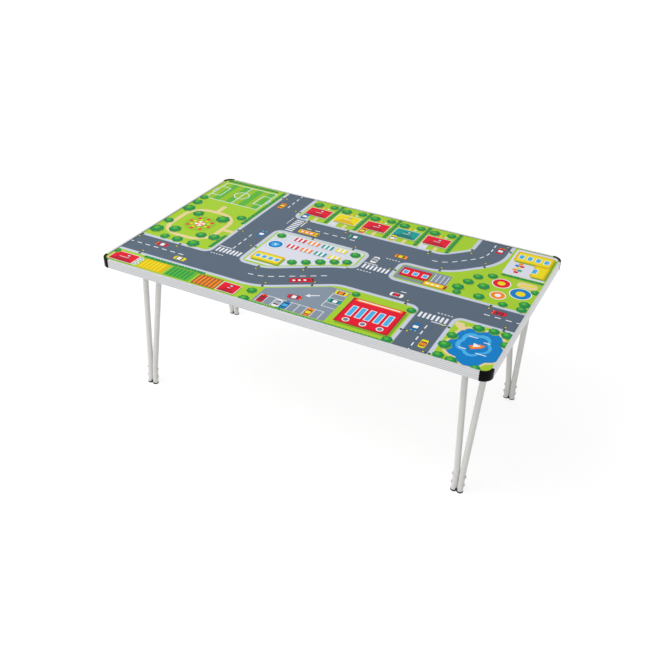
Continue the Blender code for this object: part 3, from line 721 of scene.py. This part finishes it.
def screw_shell(x, y, seat, end):
    """A pan-head screw under a cross recess.

    The head's depth below its seat is SCREW_DOME * (0.3 + 0.7 * sqrt(1 - 0.98 * share^2)), where share runs
    from 0 in the middle to 1 at the rim. The recess takes away a cross of two bars: a smooth step of the
    distance to the nearer bar, faded towards the rim.
    """
    share = np.linspace(HEAD_START, 1.0, HEAD_RINGS)[:, None]
    flat = SCREW_HEAD * share[..., None] * circle(HEAD_SIDES)
    in_cross = np.clip((RECESS_BAR - np.abs(flat).min(axis=-1)) / RECESS_SLOPE, 0.0, 1.0)
    in_reach = np.clip((RECESS_REACH - np.linalg.norm(flat, axis=-1)) / RECESS_FADE, 0.0, 1.0)
    dome = SCREW_DOME * (0.3 + 0.7 * np.sqrt(1 - 0.98 * share ** 2))
    depth = dome - RECESS_DEPTH * in_cross * in_reach
    head = np.concatenate([flat, -depth[..., None]], axis=-1)
    length = end - seat
    shank = [(SCREW_HEAD, 0.0), (SCREW_SHANK, 0.0), (SCREW_SHANK, length - SCREW_SHANK), (EASE, length)]
    rows = np.array([lifted(radius * circle(HEAD_SIDES), height) for radius, height in shank])
    return closed_shell(np.concatenate([head, rows]) + [x, y, seat])


def make_screw(name):
    """A screw in the place of its solid."""
    low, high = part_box(name)
    shell = screw_shell((low.x + high.x) / 2, (low.y + high.y) / 2, low.z + SCREW_DOME, high.z)
    make_piece("pan_" + name, shell, "screw", "screw_steel", "table_top", name)


def make_brackets():
    """Two straps, two clips and their screws at each end."""
    for end, turn in ENDS.items():
        way = round(math.cos(turn))
        for across, side in ACROSS.items():
            name = f"saddle_{across}_{end}"
            strap = make_piece("strap_" + name, saddle_shell(way * PIVOT_X, side * SADDLE_Y), "strap",
                               "zinc_plate", "table_top", name)
            bevel(strap, SADDLE_EDGE, 2)
            name = f"catch_{across}_{end}"
            clip = make_piece("clip_" + name, catch_shell(way * CATCH_X, side * CATCH_Y), "catch",
                              "nylon", "table_top", name)
            bevel(clip, CATCH_EDGE, 3)
            for kind in ("saddle_screw", "catch_screw"):
                for row in ("inner", "outer"):
                    make_screw(f"{kind}_{row}_{across}_{end}")


# The print: a road map of a small town, drawn in millimetres about the top's middle

INKS = {
    "lawn": "#9FC62B", "mown": "#8FBB28", "shade": "#76A424", "hedge": "#0B7D48", "leaf": "#219243",
    "leaf_light": "#58AE36", "road": "#556474", "kerb": "#828E9E", "pavement": "#C3C8D7",
    "paving": "#D3D6E0", "line": "#E2E5EB", "yard": "#808D9C", "red": "#DD0D2C", "red_dark": "#B01028",
    "orange": "#F08214", "orange_dark": "#CB600C", "yellow": "#E6D40C", "yellow_dark": "#D7AE08",
    "grey": "#9DA7B4", "grey_dark": "#727E8D", "water": "#027AC0", "water_light": "#46A9DE",
    "sand": "#E0CA94", "soil": "#8E5C2E", "teal": "#109690", "teal_dark": "#0C6F6A", "glass": "#23323F",
    "white": "#E9EAED",
}
ROAD_WIDTH = 84.0
HALF_LANE = ROAD_WIDTH / 4
PAVEMENT = 11.0
MOUTH_RADIUS = 26.0
# Road marks and street lamps
LINE_WIDTH = 3.2
DASH = 15.0
DASH_SPACING = 27.0
LAMP_SPACING = 62.0
# How far dashes and lamps keep from the middle of a join
DASH_CLEARANCE = 98.0
LAMP_CLEARANCE = 92.0
# What is painted so far: an ink and an outline each, from the lowest up
DRAWING = []


def paint(ink, *outlines):
    """Paint closed outlines over what is there, each turned to run anticlockwise.

    Twice an outline's area is the sum of x * next y - y * next x, which is below 0 if it runs clockwise.
    """
    for outline in outlines:
        x, y = np.asarray(outline, float).T
        way = 1 if np.sum(x * np.roll(y, -1) - y * np.roll(x, -1)) > 0 else -1
        DRAWING.append((ink, np.stack([x, y], axis=1)[::way]))


def moved(outline, x, y, turn=0.0):
    """An outline turned by degrees about 0, 0 and then moved."""
    angle = math.radians(turn)
    cosine, sine = math.cos(angle), math.sin(angle)
    return np.asarray(outline, float) @ np.array([[cosine, sine], [-sine, cosine]]) + [x, y]


def block(x, y, width, depth, corner=0.0):
    """A rectangle about a point, with its corners rounded if a radius is given."""
    half_x, half_y = width / 2, depth / 2
    sharp = [(half_x, -half_y), (half_x, half_y), (-half_x, half_y), (-half_x, -half_y)]
    return moved(rounded_box(half_x, half_y, corner, 4) if corner else sharp, x, y)


def blocks(*rows, at=(0.0, 0.0)):
    """Paint rectangles at a place and turn. Each row is an ink and what block takes."""
    for ink, *sizes in rows:
        paint(ink, moved(block(*sizes), *at))


def disc(x, y, radius, sides=24):
    """A round outline about a point."""
    return radius * circle(sides) + [x, y]


def target(x, y, *rings):
    """Discs inside one another, from the widest in."""
    for radius, ink in rings:
        paint(ink, disc(x, y, radius, 32))


def bumpy(x, y, radius, bumps, depth, turn=0.0):
    """A round outline with bumps: radius * (1 + depth * |sin(bumps * angle / 2)|)."""
    angle = np.arange(bumps * 5) * 2 * math.pi / (bumps * 5)
    reach = radius * (1 + depth * np.abs(np.sin(bumps * angle / 2)))
    return moved(reach[:, None] * circle(bumps * 5), x, y, turn)


def beside(path, distance):
    """A path moved sideways to its left by a distance."""
    return path + distance * headings(path)[:, ::-1] * [-1.0, 1.0]


def ribbon(path, width):
    """The outline of a band along a path."""
    return np.concatenate([beside(path, -width / 2), beside(path, width / 2)[::-1]])


def lengths(path):
    """How long a path is from its start to each of its points."""
    return np.concatenate([[0.0], np.cumsum(np.linalg.norm(np.diff(path, axis=0), axis=1))])


def along_path(path, places):
    """Points of a path at given lengths from its start."""
    return np.stack([np.interp(places, lengths(path), path[:, way]) for way in (0, 1)], axis=1)


def street(*points, bend=120.0):
    """A street's middle line, with round bends."""
    return rounded(points, bend, 14) if len(points) > 2 else np.array(points, float)


MAIN = street((-620, -182), (-120, -182), (60, -72), (620, -72))
NORTH = street((-262, 420), (-262, -182))
CRESCENT = street((-262, 118), (262, 118), (352, 208), (352, 420), bend=90.0)
MARKET = street((118, 118), (118, -72))
SOUTH = street((338, -72), (338, -420))
STREETS = (MAIN, NORTH, CRESCENT, MARKET, SOUTH)
# Where a side street joins: the place on the other street's middle line, and the side street's direction
CROSSINGS = ((-262, -182, 0), (-262, 118, -90), (118, -72, 0), (338, -72, 180))
JOINS = CROSSINGS + ((118, 118, 180),)


def mouth(x, y, turn, width, radius):
    """The mouth of a side street: two quarter circles widen it towards the other street's edge."""
    half = width / 2
    right = arc((half + radius, half + radius), radius, math.pi, 1.5 * math.pi, 8)
    return moved(mirrored(np.concatenate([right, [(half + radius, 0)]])), x, y, turn)


def paint_streets():
    """Pavements, kerbs and roads, then the dashes, zebra crossings and give-way marks."""
    edge = ROAD_WIDTH / 2
    for ink, extra in (("pavement", PAVEMENT), ("kerb", 1.5), ("road", 0.0)):
        width = ROAD_WIDTH + 2 * extra
        paint(ink, *[ribbon(path, width) for path in STREETS],
              *[mouth(*join, width, MOUTH_RADIUS - extra) for join in JOINS])
    for path in STREETS:
        for start in np.arange(6.0, lengths(path)[-1], DASH_SPACING):
            dash = along_path(path, [start, start + DASH])
            if min(math.dist(dash.mean(axis=0), join[:2]) for join in JOINS) > DASH_CLEARANCE:
                paint("line", ribbon(dash, LINE_WIDTH))
    for join in CROSSINGS:
        blocks(*[("line", 11.0 * stripe, edge + 33.0, 6.0, 24.0) for stripe in range(-3, 4)],
               ("line", -HALF_LANE, edge + 51.0, 2 * HALF_LANE - 4, LINE_WIDTH), at=join)
    for join in JOINS:
        blocks(*[("line", -HALF_LANE + 8.5 * mark, edge + 7.0, 5.0, LINE_WIDTH) for mark in range(-2, 3)],
               at=join)


def car(x, y, turn, ink, roof):
    """A small car from above: its body, its windows, its roof and its lamps."""
    blocks(("glass", 0, 0, 37, 19.5, 6), (ink, 0, 0, 35, 17.5, 5), ("glass", -1, 0, 20, 14.5, 3),
           (roof, -1.5, 0, 12, 13, 2), ("yellow", 16, -5.5, 2.2, 3.4), ("yellow", 16, 5.5, 2.2, 3.4),
           at=(x, y, turn))


def bus(x, y, turn, ink, roof):
    """A bus from above: its body, its roof with three hatches, and its windscreen."""
    blocks(("glass", 0, 0, 64, 22.5, 5), (ink, 0, 0, 62, 20.5, 4), (roof, -3, 0, 50, 15, 3),
           *[("white", place, 0, 7, 7) for place in (-20, -6, 8)], ("glass", 27.5, 0, 4, 16), at=(x, y, turn))


def trees(*places):
    """Round trees at x, y and radius, each with its shade to one side and a light crown."""
    for number, (x, y, radius) in enumerate(places):
        turn = 29 * number
        paint("shade", bumpy(x + 0.25 * radius, y - 0.3 * radius, radius, 7, 0.14, turn))
        paint("hedge", bumpy(x, y, radius, 7, 0.14, turn))
        paint("leaf", bumpy(x - 0.12 * radius, y + 0.14 * radius, 0.74 * radius, 6, 0.16, turn + 20))
        paint("leaf_light", bumpy(x - 0.24 * radius, y + 0.28 * radius, 0.38 * radius, 5, 0.2, turn))


def hedge(x, y, length, turn=0.0):
    """A clipped hedge: a dark strip with round leaves along it."""
    blocks(("shade", 2, -3, length, 10, 3), ("hedge", 0, 0, length, 8, 3), at=(x, y, turn))
    for number, place in enumerate(np.arange(-length / 2 + 5, length / 2 - 3, 9.5)):
        paint("leaf" if number % 2 else "hedge", moved(disc(place, 0.8, 5.2, 10), x, y, turn))
        paint("leaf_light", moved(disc(place - 1.0, 2.0, 2.0, 8), x, y, turn))


def hipped_roof(x, y, width, depth, ink, dark):
    """A house from above: four slopes that meet in a ridge, a chimney, and shade on the ground."""
    half_x, half_y = width / 2, depth / 2
    ridge = half_x - half_y
    course = 2 * ridge + half_y - 8
    blocks(("shade", 5, -6, width, depth), ("white", 0, 0, width + 3, depth + 3), (dark, 0, 0, width, depth),
           at=(x, y))
    paint(ink, moved([(-half_x, half_y), (-ridge, 0), (ridge, 0), (half_x, half_y)], x, y))
    for side in (-1, 1):
        paint(ink, moved([(side * half_x, -half_y), (side * half_x, half_y), (side * ridge, 0)], x, y))
    blocks(("white", 0, 0, 2 * ridge, 1.8), (ink, 0, -half_y / 2, course, 1.6),
           (dark, 0, half_y / 2, course, 1.6), ("glass", ridge / 2, half_y / 2, 9, 9),
           ("paving", ridge / 2, half_y / 2, 6, 6), at=(x, y))


def flat_roof(x, y, width, depth, ink, dark, lights):
    """A large building from above: a parapet, a flat roof and a row of roof lights."""
    blocks(("shade", 6, -7, width, depth), (dark, 0, 0, width, depth), (ink, 0, 0, width - 9, depth - 9),
           at=(x, y))
    for place in np.linspace(-0.34, 0.34, lights) * width:
        blocks(("white", place, 0, 16, 0.42 * depth), ("water_light", place, 0, 12, 0.42 * depth - 4),
               at=(x, y))


def paint_houses():
    """Five houses in a row, with front paths, drives, flowers, trees and hedges between them."""
    red = ("red", "red_dark")
    roofs = (red, ("yellow", "yellow_dark"), red, ("teal", "teal_dark"), red)
    parked = (("water", "white"), None, ("orange", "yellow"), ("yellow", "white"), None)
    for number, (roof, guest) in enumerate(zip(roofs, parked)):
        x = -167.0 + 92.0 * number
        blocks(("sand", x + 12, 184, 9, 27), ("paving", x - 24, 186, 24, 31))
        hipped_roof(x, 226, 70, 50, *roof)
        trees((x - 24, 274, 14), (x + 24, 280, 12))
        for bed, flower in enumerate(("red", "yellow", "orange", "white")):
            paint(flower, disc(x - 10 + 8 * bed, 262, 3.4, 10))
        hedge(x + 46, 236, 124, 90)
        if guest:
            car(x - 24, 187, 90, *guest)


def paint_park():
    """A football field, and a garden with a round flower bed inside a loop of path."""
    x, y = -424.0, 214.0
    for band in range(8):
        blocks(("leaf_light" if band % 2 else "mown", 22 * band - 77, 0, 22, 122), at=(x, y))
    target(x, y, (24, "line"), (21.5, "mown"))
    for wide, deep, shift in ((176, 122, 0), (30, 60, -73), (30, 60, 73)):
        for side in (-1, 1):
            blocks(("line", shift, side * deep / 2, wide, 2.5),
                   ("line", shift + side * wide / 2, 0, 2.5, deep + 2.5), at=(x, y))
    paint("line", block(x, y, 2.5, 122), disc(x, y, 3, 12))
    for goal in (-92, 92):
        blocks(("white", goal, 0, 8, 26), ("grey", goal, 0, 5, 23), at=(x, y))

    y = -6.0
    loop = rounded_box(74, 85, 56, 10) + [x, y - 1]
    paint("sand", ribbon(np.concatenate([loop, loop[:1]]), 13), block(x + 92, y, 44, 13),
          block(x, y + 108, 13, 48))
    paint("mown", bumpy(x, y, 44, 9, 0.06))
    for petal in range(8):
        for reach, ink, size in ((34, "red", 5.5), (24, "yellow", 4.5)):
            paint(ink, moved(disc(reach, 0, size, 12), x, y, petal * 45.0 + reach))
    paint("shade", disc(x + 3, y - 3, 17))
    parasol = [(0, 0), *(16 * circle(8)[:2])]
    for number in range(8):
        paint("orange" if number % 2 else "white", moved(parasol, x, y, 45 * number))
    hedge(-321, 172, 244, 90)
    hedge(-321, -72, 80, 90)
    hedge(-430, 290, 178)
    trees((-514, 112, 14), (-512, 66, 17), (-514, -30, 13), (-512, -88, 18), (-466, 48, 15), (-384, 50, 18),
          (-466, -66, 16), (-382, -62, 14), (-343, 84, 13), (-343, -56, 15), (-424, -114, 14),
          (-464, -116, 12), (-372, -114, 16), (-516, 150, 12))


def paint_market():
    """A paved square with two rows of stalls, a fountain and a hall."""
    slope = [(-204, 62), (-204, -122), (-131, -122), (30, -23), (30, 20)]
    paint("paving", block(-72, 24, 264, 78, 8), slope)
    blocks(*[("pavement", x, 25, 1.6, 76) for x in np.arange(-190, 50, 24.0)],
           *[("pavement", -72, y, 262, 1.6) for y in (6, 26, 46)])
    for number, ink in enumerate(("red", "orange", "teal", "yellow") * 2):
        stripes = [("white" if stripe % 2 else ink, 6.4 * stripe, 0, 6.5, 21) for stripe in range(-2, 3)]
        blocks(("grey", 2, -3, 32, 21), *stripes, at=(-128 + 42 * (number % 4), 46 if number < 4 else 2))
    target(-176, -8, (26, "grey"), (24.5, "white"), (20, "water"))
    paint("water_light", bumpy(-176, -8, 10, 8, 0.3))
    paint("white", disc(-176, -8, 3.5, 12))
    flat_roof(-156, -84, 84, 44, "yellow", "yellow_dark", 4)
    trees((38, -2, 12), (40, 44, 13), (-88, -74, 12), (-56, -56, 12), (-24, -36, 13), (8, -17, 12),
          (-188, 46, 12))


def paint_school():
    """A school and its yard with hopscotch, a playground below it, and a small works beside it."""
    blocks(("paving", 468, 222, 112, 150, 6))
    flat_roof(468, 258, 100, 58, "yellow", "yellow_dark", 4)
    flat_roof(500, 196, 40, 66, "yellow", "yellow_dark", 1)
    for row, inks in enumerate((("red",), ("orange", "teal"), ("yellow",), ("water", "red"), ("orange",))):
        for place, ink in enumerate(inks):
            blocks((ink, 444 + 13 * (place - (len(inks) - 1) / 2), 168 + 12 * row, 11.5, 10.5))
    hedge(470, 140, 112)
    target(430, 92, (24.5, "white"), (22, "red"), (10, "yellow"))
    target(488, 64, (28.5, "white"), (26, "water"), (12, "yellow"))
    target(440, 30, (20.5, "white"), (18, "orange"), (8, "white"))
    blocks(("sand", 492, 110, 52, 30, 12))
    blocks(("yellow", 0, 0, 34, 6), at=(492, 112, 12))
    blocks(("yellow", 478, 106, 6, 12), ("yellow", 506, 114, 6, 12))
    trees((512, 18, 13), (398, 118, 12), (518, 88, 10), (400, 2, 13), (464, -6, 11), (512, -8, 12),
          (394, 56, 14), (352, 60, 13), (338, 22, 14), (344, -4, 10), (366, 96, 12))
    blocks(("yard", 242, 24, 136, 74, 5))
    flat_roof(220, 28, 78, 46, "red", "red_dark", 3)
    blocks(*[("line", 268 + 12 * bay, 34, 1.8, 42) for bay in range(4)])
    bus(284, -1, 0, "orange", "yellow")


def paint_shops():
    """A shop with roof lights and vents, and its car park."""
    paint("yard", [(-79, -290), (118, -290), (118, -138), (61, -138), (-79, -224)])
    blocks(*[("line", -72 + 21.5 * bay, -270, 1.8, 36) for bay in range(9)],
           *[("line", 99, -143 - 21.5 * bay, 36, 1.8) for bay in range(5)],
           ("line", 14, -252, 174, 1.8), ("line", 81, -186, 1.8, 88))
    for parked in ((-61, -269, 90, "red", "red_dark"), (-18, -271, -90, "white", "grey"),
                   (3.5, -269, 90, "water", "water_light"), (68, -270, 90, "orange", "yellow"),
                   (98, -153.5, 0, "yellow", "orange"), (100, -196.5, 180, "teal", "white"),
                   (6, -226, 8, "red", "white")):
        car(*parked)
    for part in (block(0, 0, 24, 4), [(12, -8), (24, 0), (12, 8)]):
        paint("line", moved(part, 46, -196, 210))
    flat_roof(204, -214, 140, 118, "red", "red_dark", 5)
    blocks(("orange", 204, -162, 122, 11), ("white", 204, -162, 110, 4))
    for x in (160, 204, 248):
        target(x, -256, (9, "white"), (6.5, "grey_dark"))
    hedge(90, -298, 400)
    trees((-100, -292, 13), (-102, -250, 12), (-4, -296, 8), (131, -140, 10), (280, -142, 11),
          (280, -286, 12))


def paint_lake():
    """A lake with a sandy edge, a jetty and a sailing boat."""
    lake = moved(bumpy(0, 0, 56, 5, 0.22, 24) * [1.0, 1.2], 468, -216)
    middle = lake.mean(axis=0)
    paint("sand", middle + (lake - middle) * 1.11)
    paint("water", lake)
    paint("water_light", middle + (lake - middle) * 0.62 + [-6, 8])
    paint("water", middle + (lake - middle) * 0.48 + [-4, 6])
    for x, y, wide in ((450, -180, 22), (488, -240, 26), (442, -234, 18), (486, -190, 16)):
        blocks(("white", x, y, wide, 2.8, 1.2))
    hull = np.array([(-15, -7), (8, -7), (19, 0), (8, 7), (-15, 7)])
    sail = [(-10, 0), (10, 0), (-2, 16)]
    for ink, outline in (("orange_dark", hull * 1.15), ("orange", hull), ("white", sail)):
        paint(ink, moved(outline, 470, -214, 35))
    paint("sand", [(392, -134), (412, -134), (424, -160), (412, -168), (392, -148)])
    trees((404, -286, 12), (436, -292, 13), (516, -136, 13), (494, -294, 10), (404, -196, 12),
          (484, -134, 12), (448, -138, 13), (524, -176, 11), (402, -240, 14))


def paint_farm():
    """Two barns, two silos, a hedge and three ploughed strips with a row of one crop every 11 mm."""
    for x, width, ink, soil in ((-386, 78, "yellow", "yellow_dark"), (-302, 78, "leaf", "leaf_light"),
                                (-222, 70, "orange", "soil")):
        rows = np.arange(-width / 2 + 8, width / 2 - 4, 11.0)
        blocks((soil, 0, 0, width, 50, 3), *[(ink, row, 0, 6.0, 43, 2) for row in rows], at=(x, -268))
    hipped_roof(-482, -268, 72, 42, "red", "red_dark")
    hipped_roof(-158, -268, 50, 42, "red", "red_dark")
    for y in (-258, -280):
        target(-437, y, (9.5, "white"), (7.5, "grey"), (3, "white"))
    hedge(-344, -238, 190)
    trees((-522, -246, 9))


def paint_lamps():
    """Street lamps from above, on the pavements by turns: a post, an arm over the road and a bright head."""
    for path in STREETS:
        for number, place in enumerate(np.arange(34.0, lengths(path)[-1], LAMP_SPACING)):
            side = 1 if number % 2 else -1
            reaches = (ROAD_WIDTH / 2 + 5.5, ROAD_WIDTH / 2 - 9.5)
            post, head = (along_path(beside(path, side * reach), [place])[0] for reach in reaches)
            if min(math.dist(post, join[:2]) for join in JOINS) > LAMP_CLEARANCE:
                paint("shade" if number % 2 else "kerb", disc(*post + [2.0, -2.0], 4.0, 10))
                paint("glass", ribbon(np.array([post, head]), 2.2), disc(*post, 3.4, 10),
                      disc(*head, 4.0, 10))
                paint("yellow", disc(*head, 2.6, 10))


def paint_traffic():
    """Traffic keeps to its right, half a lane from the middle line."""
    for driven in (
        (-440, -182 + HALF_LANE, 180, "red", "white"), (-352, -182 - HALF_LANE, 0, "yellow", "white"),
        (-262 + HALF_LANE, 28, 90, "water", "white"), (-262 - HALF_LANE, 214, -90, "orange", "yellow"),
        (-8, 118 + HALF_LANE, 180, "teal", "white"), (220, -72 - HALF_LANE, 0, "white", "red"),
        (470, -72 + HALF_LANE, 180, "red", "red_dark"), (338 + HALF_LANE, -262, 90, "yellow", "orange"),
        (118 - HALF_LANE, 46, -90, "white", "grey"), (338 - HALF_LANE, -206, -90, "water", "white"),
        (352 + HALF_LANE, 262, 90, "red", "white"), (150, 118 - HALF_LANE, 0, "orange", "yellow"),
    ):
        car(*driven)
    slope = 31.4
    on_slope = moved([(0.0, -HALF_LANE)], -30, -127, slope)[0]
    bus(*on_slope, slope, "red", "red_dark")
    bus(-130, 118 - HALF_LANE, 0, "yellow", "orange")


def inked_sheet(sheets):
    """The drawing as one flat mesh: points in metres, triangles, and the number of each one's outline.

    The triangles are a constrained Delaunay triangulation of all the outlines, so that every edge between
    two inks is an edge of the mesh. Each belongs to the last outline painted over it, and those outside the
    first outline, the sheet's own, are left out.
    """
    starts = np.cumsum([0] + [len(outline) for _, outline in sheets])
    corners = [Vector(point) for _, outline in sheets for point in outline]
    outlines = [list(range(start, end)) for start, end in zip(starts, starts[1:])]
    points, _, faces, _, _, sources = delaunay_2d_cdt(corners, [], outlines, 1, 1e-4, True)
    shown = [(face, max(source)) for face, source in zip(faces, sources) if 0 in source]
    used, faces = np.unique([face for face, _ in shown], return_inverse=True)
    flat = np.array([points[number] for number in used]) / 1000
    return flat, faces.reshape(-1, 3), [source for _, source in shown]


def make_print():
    """The laminate: its face is the inked sheet, and straight walls join its rim to a plain back.

    The rim's points are the ends of the edges that only one triangle has, sorted by their angle about the
    middle. The walls and the back take the first ink.
    """
    half_x, half_y = LENGTH / 2 - RAIL_WALL - GAP, WIDTH / 2 - RAIL_WALL - GAP
    outline = rounded_box(half_x, half_y, CORNER_RADIUS - RAIL_WALL - GAP, 12) * 1000
    for part in (paint_streets, paint_houses, paint_park, paint_market, paint_school, paint_shops, paint_lake,
                 paint_farm, paint_lamps, paint_traffic):
        part()
    sheets = [("lawn", outline)] + DRAWING
    flat, faces, shown = inked_sheet(sheets)
    edges = np.stack([faces, np.roll(faces, -1, axis=1)], axis=-1).reshape(-1, 2)
    pairs, counts = np.unique(np.sort(edges, axis=1), axis=0, return_counts=True)
    rim = np.unique(pairs[counts == 1])
    rim = rim[np.argsort(np.arctan2(flat[rim, 1], flat[rim, 0]))]
    below = len(flat) + np.arange(len(rim))
    walls = np.stack([rim, below, np.roll(below, -1), np.roll(rim, -1)], axis=1)
    points = np.concatenate([lifted(flat, PRINT_TOP), lifted(flat[rim], PRINT_BOTTOM)])
    whole = faces.tolist() + walls.tolist() + [below[::-1].tolist()]
    piece = make_piece("road_map_laminate", outward(points, whole), "print", "print", "table_top",
                       "print_laminate")
    colours = np.array([linear(INKS[ink]) for ink, _ in sheets])
    rows = colours[shown + [0] * (len(rim) + 1)]
    sides = [len(face) for face in whole]
    attribute = piece.data.color_attributes.new("ink", "FLOAT_COLOR", "CORNER")
    attribute.data.foreach_set("color", np.repeat(rows, sides, axis=0).ravel())


# The floor, the light and the camera

def seen(tree):
    """1 for rays from the camera, from reflections and through glass, and 0 for light on the object."""
    kinds = add(tree, "LightPath").outputs
    ray = kinds["Is Camera Ray"]
    for kind in ("Is Glossy Ray", "Is Transmission Ray"):
        ray = add(tree, "Math", {0: ray, 1: kinds[kind]}, operation="MAXIMUM").outputs[0]
    return ray


def make_floor():
    """A pale floor. To the eye and in reflections it is white but for a faint shadow.

    It lies just clear of the feet, and it has one side only, so that the table's underside can be looked at
    from below. Its glow and its dimmed light make up white where nothing shades it.
    """
    mesh = bpy.data.meshes.new("floor")
    reach, drop = 20.0, 0.0001
    mesh.from_pydata([(-reach, -reach, 0), (reach, -reach, 0), (reach, reach, 0), (-reach, reach, 0)],
                     [], [(0, 1, 2, 3)])
    floor = bpy.data.objects.new("floor", mesh)
    floor.location.z = -drop
    bpy.context.scene.collection.objects.link(floor)
    finish = bpy.data.materials.new("pale_floor")
    finish.use_nodes = True
    tree = finish.node_tree
    tree.nodes.remove(tree.nodes["Principled BSDF"])
    matt = add(tree, "BsdfDiffuse", {"Color": linear("#EDEDED")}).outputs["BSDF"]
    dimmed = add(tree, "BsdfDiffuse", {"Color": linear("#8C8C8C")}).outputs["BSDF"]
    glow = add(tree, "Emission", {"Strength": 0.79}).outputs["Emission"]
    white = add(tree, "AddShader", {0: glow, 1: dimmed}).outputs["Shader"]
    upper = add(tree, "MixShader", {"Fac": seen(tree), 1: matt, 2: white}).outputs["Shader"]
    lower = add(tree, "BsdfTransparent").outputs["BSDF"]
    below = add(tree, "NewGeometry").outputs["Backfacing"]
    whole = add(tree, "MixShader", {"Fac": below, 1: upper, 2: lower}).outputs["Shader"]
    tree.links.new(whole, tree.nodes["Material Output"].inputs["Surface"])
    mesh.materials.append(finish)


def make_light():
    """Soft light from all round, stronger from the table's left than from its right, and one soft lamp.

    To the eye and in reflections the surroundings are white.
    """
    world = bpy.data.worlds.new("studio")
    bpy.context.scene.world = world
    world.use_nodes = True
    tree = world.node_tree
    direction = add(tree, "TexCoord").outputs["Generated"]
    to_right = add(tree, "SeparateXYZ", {"Vector": direction}).outputs["X"]
    from_left, from_right = 1.2, 0.42
    light = add(tree, "MapRange", {"Value": to_right, "From Min": -1.0, "To Min": from_left,
                                   "To Max": from_right})
    inputs = {"Value": seen(tree), "To Min": light.outputs["Result"], "To Max": 1.0}
    strength = add(tree, "MapRange", inputs).outputs["Result"]
    tree.links.new(strength, tree.nodes["Background"].inputs["Strength"])
    tree.nodes["Background"].inputs["Color"].default_value = linear("#FFFFFF")

    lamp = bpy.data.lights.new("key", "AREA")
    lamp.shape = "DISK"
    lamp.size = 2.2
    lamp.energy = 42.0
    key = bpy.data.objects.new("key", lamp)
    key.location = (-1.6, -1.5, 3.0)
    key.rotation_euler = (Vector((0.0, 0.0, 0.3)) - key.location).to_track_quat("-Z", "Y").to_euler()
    bpy.context.scene.collection.objects.link(key)


# The camera's place, its azimuth, elevation and roll in degrees, and its lens in mm, fitted to the photo
CAMERA_PLACE = (0.88294, -1.79075, 1.50581)
CAMERA_ANGLES = (26.228, 33.194, -1.752)
LENS = 46.157
SENSOR = 36.0


def make_camera():
    """A camera that looks down over the table's front right corner, slightly rolled."""
    azimuth, elevation, roll = map(math.radians, CAMERA_ANGLES)
    forward = Vector((-math.sin(azimuth) * math.cos(elevation), math.cos(azimuth) * math.cos(elevation),
                      -math.sin(elevation)))
    level = Vector((math.cos(azimuth), math.sin(azimuth), 0.0))
    down = forward.cross(level)
    right = math.cos(roll) * level + math.sin(roll) * down
    up = math.sin(roll) * level - math.cos(roll) * down
    lens = bpy.data.cameras.new("camera")
    lens.lens = LENS
    lens.sensor_width = SENSOR
    camera = bpy.data.objects.new("camera", lens)
    turn = Matrix((right, up, -forward)).transposed().to_4x4()
    camera.matrix_world = Matrix.Translation(CAMERA_PLACE) @ turn
    bpy.context.scene.collection.objects.link(camera)
    bpy.context.scene.camera = camera


def dress_solid(name, finish):
    """Give a solid node that stays in view its finish."""
    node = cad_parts[name]
    node.data.materials.clear()
    node.data.materials.append(FINISHES[finish])


make_camera()
make_floor()
make_light()
make_rails()
make_corners()
for frame_end, frame_turn in ENDS.items():
    make_leg_frame(frame_end, frame_turn)
make_brackets()
make_print()
dress_solid("backing_laminate", "backing")
dress_solid("top_core", "core")

bpy.context.scene.view_settings.view_transform = "Standard"
bpy.context.view_layer.update()
